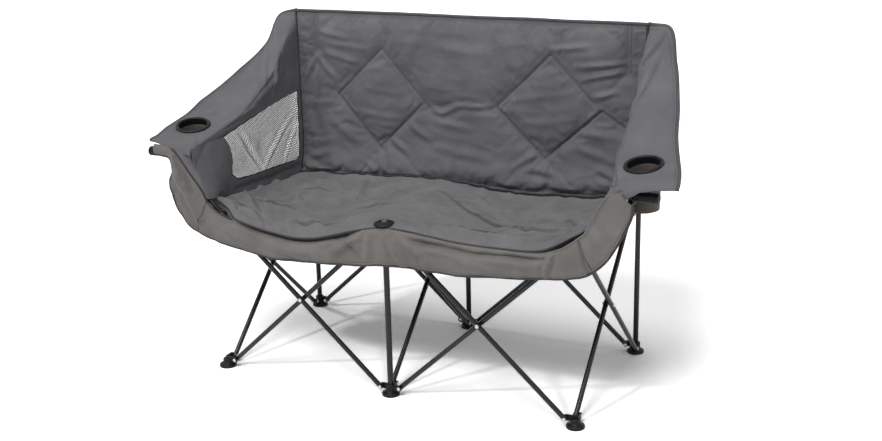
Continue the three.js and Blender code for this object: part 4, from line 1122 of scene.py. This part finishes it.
def armGrid(label):
    along = np.linspace(0, 1, arm["rows"])
    inner = innerLine(along, label)
    outer = evenly(armOuter, arm["rows"])
    outer[:, 0] += outerSpread(along, label)
    centre, wide, out, lift = armBow[label]
    outer[:, 0] += out * np.exp(-((along - centre) / wide) ** 2)
    outer[:, 2] += lift * np.exp(-((along - 0.09) / 0.05) ** 2)
    crest = inner + 0.0
    crest[:, 2] += crestRise(along)
    crest[:, 1] += 7 * (1 - smooth(along, 0, 0.1))
    first = np.linalg.norm(crest - inner, axis=1)[:, None]
    second = np.linalg.norm(outer - crest, axis=1)[:, None]
    turn = first / (first + second)

    def across(u):
        low = mix(inner[:, None], crest[:, None], np.clip(u / turn, 0, 1)[..., None])
        high = mix(crest[:, None], outer[:, None], np.clip((u - turn) / (1 - turn), 0, 1)[..., None])
        return np.where((u < turn)[..., None], low, high)

    u = np.broadcast_to(np.linspace(0, 1, arm["cols"])[None, :], (arm["rows"], arm["cols"]))
    reach = np.minimum(arm["round"], np.minimum(u, 1 - u))
    p = np.mean([across(u + reach * k) for k in np.linspace(-1, 1, 9)], 0)
    height = (p - cupCentre) @ cupNormal
    away = np.linalg.norm(p - cupCentre, axis=-1)
    flatness = (1 - smooth(away, 76, 140)) * smooth(u, 0, 0.2)
    return p - (height * flatness)[..., None] * cupNormal, along[:, None], u


armCreases = dict(  # in mm along the arm and across it from its inner edge
    left=[([(60, 200), (150, 20)], 6, 9), ([(110, 230), (190, 60)], 5, 10), ([(90, 60), (260, 30)], 5, 10),
          ([(250, 20), (420, 26)], 4, 9), ([(480, 120), (560, 20)], 4, 9), ([(330, 110), (430, 130)], 3, 16)],
    right=[([(40, 190), (110, 12)], 6, 8), ([(110, 12), (230, 8)], 5, 8), ([(90, 150), (210, 30)], 4.5, 9),
           ([(300, 24), (420, 18)], 4, 9), ([(500, 30), (590, 40)], 4.5, 8),
           ([(300, 120), (420, 100)], 3, 18)])
armSewn = {label: dict(body=f"rear_{label}", slot="arm_cloth", squash=armSquash) for label in ("left", "right")}
# the cup's rim and the pouch under it, with heights along the rim's axis
cup = dict(flange=49, neck=43.4, bore=40, depth=15, lip=4.5, lift=2.9,
           sockTop=-15.4, sockFloor=-109.2, sockEnd=-112, sockRows=30, sockTaper=4, sockDrop=96)


def turnedDown(edge, side):
    # the front edge is turned down over the arm leg's end
    rows = []
    for t in np.linspace(0.12, 1, 8):
        bend = min(1.0, t * 1.8) * math.pi / 2
        flap = arm["flap"] * (1 - smooth(edge[:, 0], 664, 682)) if side > 0 else 0
        drop = (arm["hem"] + flap) * t * (0.35 + 0.65 * t) * (1.35 - 0.85 * smooth(edge[:, 0], 610, 690))
        rows.append(edge + np.stack([0 * drop, 0 * drop - 5.5 * math.sin(bend), -drop], 1))
    return np.array(rows)


def addCup(label, side):
    r = cup
    flange, neck, bore, depth = r["flange"], r["neck"], r["bore"], r["depth"]
    form = [(bore, -depth), (bore + 1.2, -depth - 0.6), (neck, -depth), (neck, 0.2), (flange - 0.6, 0.2),
            (flange, 0.9), (flange - 0.4, 2.2), (flange - 2.2, 3.9), (flange - 3.8, r["lip"]),
            (bore + 3.4, r["lip"]), (bore + 1.4, 3.8), (bore, 2.2), (bore, -depth)]
    mirror = [side, 1, 1]
    stand = turnTo(cupNormal * mirror, (cupCentre + cupNormal * r["lift"]) * mirror)
    verts, faces = placed(revolve(form, 72), stand)
    ring = newPiece(f"cup_rim_{label}", verts, faces, [nylon])
    dress(ring, f"cup_{label}", "black_plastic", f"cup_ring_{label}")
    heights = np.linspace(r["sockTop"], r["sockEnd"] + 1, r["sockRows"])
    radii = neck - 0.9 - r["sockTaper"] * np.linspace(0, 1, r["sockRows"])
    form = [(0, r["sockFloor"]), (radii[-1] - 4, r["sockFloor"])]
    form += [(x - 1.8, z) for x, z in zip(radii[::-1], heights[::-1] + 0.9)]
    form += list(zip(radii, heights)) + [(radii[-1] - 3, r["sockEnd"]), (0, r["sockEnd"])]
    verts, faces = revolve(form, 64)
    uv = np.stack([np.arctan2(verts[:, 1], verts[:, 0]) * neck, verts[:, 2]], 1)
    down = np.clip((-depth - verts[:, 2]) / r["sockDrop"], 0, 1)
    wave = ripple(verts * [1, 1, 0.5], 38, 41 + side)
    verts[:, :2] *= (1 + 0.06 * (wave - 0.3) * np.sin(np.pi * down * 0.9))[:, None]
    verts[:, 2] += 2.0 * wave * down
    # the pouch's top follows the tilted rim, and its bottom hangs level
    tilted = placed((verts * [1, 1, 0] + [0, 0, r["sockTop"]], faces), stand)[0]
    rimAt = placed((np.array([0, 0, r["sockTop"]]), faces), stand)[0]
    verts = mix(tilted, verts - [0, 0, r["sockTop"]] + rimAt, down[:, None])
    pouch = newPiece(f"cup_sock_{label}", verts, faces, [pouchCloth], uv)
    dress(pouch, f"cup_{label}", "pouch_cloth", f"cup_pouch_{label}")


for label, side in bothSides:
    p, along, across = armGrid(label)
    flat = flatMap(p)
    fade = smooth(across, 0, 0.06) * smooth(1 - across, 0, 0.08) * smooth(along, 0, 0.03)
    fade = fade * smooth(np.linalg.norm(p - cupCentre, axis=-1), 52, 95)
    wave = creased(flat[..., ::-1], armCreases[label]) + 1.6 * ripple(flat, 60, 31 + side)
    wave = wave + 3.0 * ripple(flat, 170, 34 + side)
    p = p - normalsOf(p) * (wave * fade)[..., None]
    p = np.concatenate([p, turnedDown(p[-1], side)])
    # the cup's hole: squares inside it go, and its rim is drawn to a circle
    off = p - cupCentre
    off = off - (off @ cupNormal)[..., None] * cupNormal
    radius = np.linalg.norm(off, axis=-1)
    outside = radius > arm["hole"]
    keep = outside[:-1, :-1] | outside[:-1, 1:] | outside[1:, 1:] | outside[1:, :-1]
    snap = np.where(outside, 0, arm["hole"] - radius) / np.maximum(radius, 1)
    p = (p + off * snap[..., None]) * [side, 1, 1]
    piece = clothOf(f"arm_sling_{label}", p, arm["thickness"], armCloth, keep)
    dress(piece, **armSewn[label], stoodFor=f"arm_{label}")
    line = p[:, -1]
    up = np.cross(np.gradient(line, axis=0), unit(np.gradient(p, axis=1)[:, -1]))
    addTrim(armSewn[label], f"arm_binding_{label}", line, up, *arm["tape"], edgeTape)
    n = normalsOf(p)
    n = n * np.sign((n * [0, 0, 1]).sum(-1).mean())
    # a band of darker webbing runs along the crest, between the inner face and the top: painted shade for the
    # dark line where the arm meets the back
    rowAt = np.arange(14, 152)
    colAt = crestShare(rowAt / (arm["rows"] - 1), label) * (arm["cols"] - 1)
    up = sampleGrid(n, rowAt, colAt)
    line = sampleGrid(p, rowAt, colAt) + up * 1.2
    addTrim(armSewn[label], f"arm_crest_shade_band_{label}", line, up, *arm["crest"], webbing)
    rowAt = np.arange(2, 158)
    colAt = np.full(len(rowAt), arm["cols"] - 4.5)
    up = sampleGrid(n, rowAt, colAt)
    addStitches(armSewn[label], f"arm_stitches_{label}", [(sampleGrid(p, rowAt, colAt) + up * 1.5, up)])
    addCup(label, side)
print("arms and cups done")


# side panels: a cloth frame round a mesh window, sewn to the arm above and the back behind
sidePanel = dict(thickness=1.8, inner=546.7, flare=28, bottom=463, rear=240 + yShift, front=-277.5 + yShift,
                 legY=-238.8, rings=16, binding=(4.5, 2.6), webbing=(19, 2.2),
                 meshRows=49, meshCols=61, meshOverlap=1.035, meshThick=0.7)
s = sidePanel


def sideShare(y):
    return (s["rear"] - y) / (s["rear"] - s["front"])


def sideTop(y):
    return mix(712, armEndZ + 16, sideShare(y)) - 1.5


def onSide(yz, label):
    y, z = yz[..., 0], yz[..., 1]
    share = sideShare(y)
    spread = s["flare"] * share + armSpread[label]["inner"] * smooth(share, 0.6, 1)
    x = s["inner"] + spread * (z - s["bottom"]) / (sideTop(y) - s["bottom"])
    x = x - 4 * (1 - smooth(z, 446, 478))
    toBack = smooth(y, 205, s["rear"])
    return np.stack([x - 8.5 * toBack, y + 6 * toBack, z], -1)


# the window's and the panel's four edges in Y and Z: bottom, rear, top and front
windowSides = [[(-100, 507), (-20, 499), (65, 496), (150, 492), (210, 487)],
               [(210, 487), (224, 498), (228, 600), (229, 700)],
               [(229, 700), (218, 705), (46, 671), (-144, 635)],
               [(-144, 635), (-126, 604), (-112, 562), (-124, 526), (-100, 507)]]
outlineSides = [[(s["legY"], 470), (-150, 454), (0, 446), (s["rear"], 440)],
                [(s["rear"], 440), (s["rear"], sideTop(s["rear"]))],
                [(s["rear"], sideTop(s["rear"])), (s["front"], sideTop(s["front"]))],
                [(s["front"], sideTop(s["front"])), (s["front"], 541), (s["legY"], 521), (s["legY"], 470)]]
window = np.concatenate([evenly(line, 49)[:-1] for line in windowSides])
outline = np.concatenate([evenly(line, 49)[:-1] for line in outlineSides])
meshPleats = [([(232, 600), (146, 492)], -7, 6), ([(228, 640), (120, 560), (40, 500)], -5, 7),
              ([(-60, 640), (30, 500)], 4, 9)]


def windowGrid():
    # an even grid between the window's four edges, a little larger than the window
    rows, cols = s["meshRows"], s["meshCols"]
    low, high = evenly(windowSides[0], cols), evenly(windowSides[2][::-1], cols)
    front, rear = evenly(windowSides[3][::-1], rows), evenly(windowSides[1], rows)
    v = np.linspace(0, 1, rows)[:, None, None]
    w = np.linspace(0, 1, cols)[None, :, None]
    corners = low[0] * (1 - w) * (1 - v) + low[-1] * w * (1 - v) + high[0] * (1 - w) * v + high[-1] * w * v
    yz = low[None] * (1 - v) + high[None] * v + front[:, None] * (1 - w) + rear[:, None] * w - corners
    middle = yz.mean((0, 1))
    return middle + (yz - middle) * s["meshOverlap"], np.sin(np.pi * w[..., 0]) * np.sin(np.pi * v[..., 0])


for label, side in bothSides:
    share = np.linspace(0, 1, s["rings"])
    yz = mix(window[None], outline[None], share[:, None, None])
    p = onSide(yz, label)
    frontward = smooth(-yz[..., 0], 100, 220)
    wave = 3.0 * ripple(yz, 70, 51) + 7.0 * frontward * (puckered(yz * [1, 0.6], 60, 52) - 0.35)
    p[..., 0] += wave * np.sin(np.pi * share)[:, None]
    p = p * [side, 1, 1]
    n = np.array([side, 0, 0.05]) * s["thickness"] / 2
    piece = shell(f"side_cloth_{label}", p - n, p + n, [armCloth], ring=True, uv=yz)
    dress(piece, **armSewn[label], stoodFor=f"side_panel_{label}")
    # mesh window, a little slack
    yz, belly = windowGrid()
    p = onSide(yz, label)
    p[..., 0] += 9 * belly + 3 * belly * ripple(yz, 60, 55) + creased(yz, meshPleats) * belly ** 0.3
    p = p * [side, 1, 1]
    net = clothOf(f"mesh_net_{label}", p, s["meshThick"], netCloth)
    dress(net, f"rear_{label}", "mesh_cloth", f"mesh_{label}", armSquash)
    # sewn binding round the window, and the strip of webbing under it
    line = onSide(window, label) * [side, 1, 1]
    addTrim(armSewn[label], f"window_binding_{label}", line, (side, 0, 0), *s["binding"], binding,
            closed=True, sides=8)
    line = onSide(evenly([(-128, 491), (60, 484), (s["rear"] - 2, 477)], 60), label) * [side, 1, 1]
    line = line - [side * 1.5, 0, 0]
    addTrim(armSewn[label], f"window_webbing_{label}", line, (side, 0, 0), *s["webbing"], webbing)

# rolled front edge of each side, sewn to the skirt, which hides the arm leg
# seam and crown are in X, Y and Z, and inside is in Y and Z; tuck draws the inside's lower end under the seat
roll = dict(
    left=dict(seam=[(640, -277, 634), (620, -279, 618), (600, -279, 592), (576, -279, 560), (550, -279, 527),
                    (534, -278, 497)],
              crown=[(574, -294, 642), (556, -298, 612), (540, -296, 574), (526, -291, 541), (516, -282, 515),
                     (516, -264, 494)],
              inside=[(-136, 634), (-118, 604), (-114, 568), (-128, 534), (-158, 510), (-210, 494)], tuck=8),
    right=dict(seam=[(640, -277, 636), (614, -279, 622), (594, -279, 596), (577, -279, 562), (554, -279, 518),
                     (520, -278, 480)],
               crown=[(606, -290, 634), (586, -288, 612), (566, -284, 586), (546, -280, 552), (524, -278, 508),
                      (490, -276, 472)],
               inside=[(-222, 630), (-214, 606), (-216, 574), (-220, 538), (-230, 500), (-236, 462)], tuck=42))
rollThick = 2.0
for label, side in bothSides:
    q = roll[label]
    knots = np.linspace(0, 1, len(q["seam"]))
    at = np.linspace(0, 1, 60)
    seam, crown = through(knots, q["seam"], at), through(knots, q["crown"], at)
    inside = onSide(through(knots, q["inside"], at), label) - [3, 0, 0]
    inside[:, 0] -= q["tuck"] * smooth(at, 0.76, 1)
    t = np.linspace(0, 1, 30)[None, :, None]
    p = (1 - t) ** 2 * seam[:, None] + 2 * t * (1 - t) * crown[:, None] + t * t * inside[:, None]
    wave = 3.2 * (puckered(p * [1, 1, 0.5], 55, 71 + side) - 0.35) * np.sin(np.pi * t[..., 0])
    p = (p + np.stack([-wave, -0.6 * wave, 0 * wave], -1)) * [side, 1, 1]
    piece = clothOf(f"arm_roll_{label}", p, rollThick, armCloth)
    dress(piece, **armSewn[label])
print("sides done")


# front skirt, from arm end to arm end, with a bound hem
skirt = dict(plane=-280.5, thickness=2.4, foldDepth=7, hem=(8, 4.4), piping=(5, 5), seam=(2.6, 1.8),
             rows=36, cols=320)
# stations from the left tip to the right tip, in X and Z
skirtTop = [
    (-690, 640), (-655, 637), (-636, 632), (-620, 618), (-600, 592), (-576, 560), (-546, 522), (-528, 488),
    (-500, 466), (-470, 453), (-430, 442), (-396, 433), (-325, 420), (-253, 414), (-200, 420), (-148, 434),
    (-90, 452), (-41, 465), (0, 472), (46, 473), (141, 464), (210, 457), (321, 454), (430, 456), (482, 472),
    (506, 486), (529, 504), (557, 530), (577, 573), (592, 603), (610, 622), (634, 628)]
skirtHem = [
    (-694, 612), (-648, 604), (-636, 588), (-640, 562), (-650, 535), (-644, 500), (-632, 462), (-606, 428),
    (-578, 404), (-520, 385), (-465, 372), (-400, 360), (-340, 351), (-262, 352), (-205, 355), (-150, 358),
    (-92, 362), (-41, 368), (0, 373), (46, 375), (142, 373), (212, 373), (318, 380), (430, 391), (490, 399),
    (540, 409), (572, 428), (604, 460), (634, 510), (656, 556), (664, 580), (664, 600)]
# creases in X and Z, with height and width in mm
skirtCreases = [
    ([(-60, 455), (-150, 385)], 8, 11), ([(-30, 455), (-40, 380)], 6, 10), ([(20, 456), (60, 385)], 8, 10),
    ([(50, 452), (150, 395)], 6, 12), ([(-620, 560), (-560, 440)], 8, 11),
    ([(-520, 440), (-400, 380)], 6, 15), ([(466, 466), (448, 405)], 9, 7), ([(250, 430), (430, 425)], 6, 12),
    ([(-300, 392), (-180, 385)], 4.5, 13), ([(560, 540), (600, 470)], 5, 12),
    ([(100, 430), (250, 436)], 5, 10), ([(529, 508), (557, 426)], -6, 5), ([(-640, 600), (-610, 520)], 6, 10),
    ([(-585, 500), (-545, 415)], 5, 9), ([(-622, 606), (-604, 570), (-587, 549), (-574, 515)], -12, 7),
    ([(-350, 400), (-230, 372)], 7, 12), ([(180, 425), (330, 398)], 6, 12),
    ([(-110, 440), (-60, 385)], -7, 7), ([(90, 445), (112, 390)], -6, 7)]
skirtSewn = dict(body="hub_front_middle", slot="seat_cloth", squash=skirtSquash)
stations = np.arange(len(skirtTop))
at = np.linspace(0, len(skirtTop) - 1, skirt["cols"])
upper = through(stations, skirtTop, at)
lower = through(stations, skirtHem, at)
down = np.linspace(0, 1, skirt["rows"])[:, None]
xz = mix(upper[None], lower[None], down[..., None])
x, z = xz[..., 0], xz[..., 1]
topX = upper[None, :, 0]
tuck = 28 * (1 - smooth(down, 0.08, 0.24)) * smooth(-topX, 30, 130) * (1 - smooth(-topX, 400, 470))
dip = np.exp(-((down - 0.23) / 0.085) ** 2)
tuck = tuck + 15 * dip * smooth(topX, 40, 130) * (1 - smooth(topX, 400, 470))
# the top edge is sewn under the seat's piping
tuck = tuck + 7 * (1 - smooth(down, 0, 0.08)) * smooth(topX, -40, 60) * (1 - smooth(topX, 430, 480))
belly = np.sin(np.pi * down ** 0.8)
corner = smooth(np.abs(x), 470, 600)
bulge = 1.5 * creased(xz, skirtCreases) + 4.6 * ripple(xz * [1, 0.5], 80, 61) + 1.4 * ripple(xz, 26, 62)
bulge += 6.0 * (puckered(xz * [1, 0.6], 95, 63) - 0.35)
y = skirt["plane"] - skirt["foldDepth"] * belly * (1 - 0.3 * corner) + tuck
y = y - np.clip(bulge, -8, 16) * smooth(down, 0, 0.12) * 0.8
grid = np.stack([x, y, z], -1)
piece = clothOf("front_skirt_cloth", grid, skirt["thickness"], skirtCloth)
dress(piece, **skirtSewn, stoodFor="front_skirt")
addTrim(skirtSewn, "skirt_hem_binding", grid[-1] + [0, 0, 1.5], (0, 1, 0), *skirt["hem"], binding)
for label, side in bothSides:
    # piping up the slanting seam, where the skirt meets the arm; on the left it is dark binding, painted shade
    # for the deep fold beside the seam
    line = grid[0][(side * grid[0][:, 0] > 450) & (side * grid[0][:, 0] < 634)] - [0, 1.5, 0]
    cover = binding if side < 0 else skirtCloth
    addTrim(skirtSewn, f"skirt_piping_{label}", line, (0, 1, 0), *skirt["piping"], cover)
    # the seam that joins the end piece to the skirt's front
    high = int(np.argmin(np.abs(upper[:, 0] - side * 530)))
    low = int(np.argmin(np.abs(lower[:, 0] - side * 570)))
    line = sampleGrid(grid, np.linspace(1, skirt["rows"] - 3, 40), np.linspace(high, low, 40)) - [0, 1.4, 0]
    addTrim(skirtSewn, f"skirt_seam_{label}", line, (0, 1, 0), *skirt["seam"], thread)
rowAt = np.full(skirt["cols"], skirt["rows"] - 4.5)
line = sampleGrid(grid, rowAt, np.arange(float(skirt["cols"]))) - [0, 1.3, 0]
addStitches(skirtSewn, "skirt_stitches", [(line, (0, -1, 0))])
print("skirt done")


# stage: white sweep, soft studio light, and the camera
# lift and white brighten the floor where it is seen, world is the sky's own light, and half is in metres
stage = dict(floor="#fafafa", lift=0.03, white=0.56, world=0.22, half=30)


def seenRays(tree):
    # 1 for rays that show the stage, straight, mirrored or through something clear
    path = addNode(tree, "ShaderNodeLightPath")
    seen = calc(tree, "ADD", path.outputs["Is Camera Ray"], path.outputs["Is Glossy Ray"])
    return calc(tree, "ADD", seen, path.outputs["Is Transmission Ray"], use_clamp=True)


mesh = bpy.data.meshes.new("floor")
corners = [(x * stage["half"], y * stage["half"], 0) for x, y in ((-1, -1), (1, -1), (1, 1), (-1, 1))]
mesh.from_pydata(corners, [], [(0, 1, 2, 3)])
floor = bpy.data.objects.new("floor", mesh)
scene.collection.objects.link(floor)
sockets = {"Base Color": toLinear(stage["floor"]), "Roughness": 0.9, "Specular IOR Level": 0.1}
material, tree, shader, out = newMaterial("white studio floor", **sockets)
seen = seenRays(tree)
strength = calc(tree, "MULTIPLY", seen, stage["lift"])
glow = addNode(tree, "ShaderNodeEmission", {"Color": (1, 1, 1, 1), "Strength": strength}).outputs[0]
both = addNode(tree, "ShaderNodeAddShader", {0: shader.outputs[0], 1: glow}).outputs[0]
# the sweep is seen brighter than it lights the chair, so that half shadows on it stay near white
brighter = calc(tree, "MULTIPLY", seen, stage["white"])
sweepWhite = addNode(tree, "ShaderNodeBsdfDiffuse", {"Color": brighter}).outputs[0]
both = addNode(tree, "ShaderNodeAddShader", {0: both, 1: sweepWhite}).outputs[0]
tree.links.new(both, out.inputs["Surface"])
mesh.materials.append(material)
floor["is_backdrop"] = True

world = bpy.data.worlds.new("studio")
scene.world = world
world.use_nodes = True
tree = world.node_tree
tree.nodes.clear()
strength = ranged(tree, seenRays(tree), 0.0, 1.0, stage["world"], 1.0)
sky = addNode(tree, "ShaderNodeBackground", {"Color": (1, 1, 1, 1), "Strength": strength}).outputs[0]
addNode(tree, "ShaderNodeOutputWorld", {"Surface": sky})

# banks high in front and overhead, a weak fill,
# and a small lamp forward on the left that draws the tubes' streaks on the floor
lamps = dict(front=dict(source=(0, -0.8, 1), angle=18, onFloor=0.34),
             overhead=dict(source=(0, -0.12, 1), angle=24, onFloor=0.29),
             small=dict(source=(-0.6, -0.85, 1), angle=4, onFloor=0.17),
             fill=dict(source=(1.2, -0.8, 0.6), angle=60, onFloor=0.045))
for name, setting in lamps.items():
    lamp = bpy.data.lights.new(name + " lamp", "SUN")
    lamp.angle = math.radians(setting["angle"])
    lamp.energy = setting["onFloor"] * math.pi / Vector(setting["source"]).normalized().z
    holder = bpy.data.objects.new(name + " lamp", lamp)
    holder.matrix_world = turnTo(setting["source"], (0, 0, 3))
    scene.collection.objects.link(holder)

lens = bpy.data.cameras.new("camera")
lens.sensor_width = 36
lens.lens = 51.89
lens.clip_end = 200
eye = bpy.data.objects.new("camera", lens)
right, upward, backward = (0.9064, 0.4218, -0.0239), (-0.1029, 0.2754, 0.9558), (0.4097, -0.8639, 0.2930)
place = (1.4689, -3.01505, 1.4403)
eye.matrix_world = Matrix([[right[n], upward[n], backward[n], place[n]] for n in range(3)] + [[0, 0, 0, 1]])
scene.collection.objects.link(eye)
scene.camera = eye
print("stage set")

bpy.context.view_layer.update()
low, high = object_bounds()
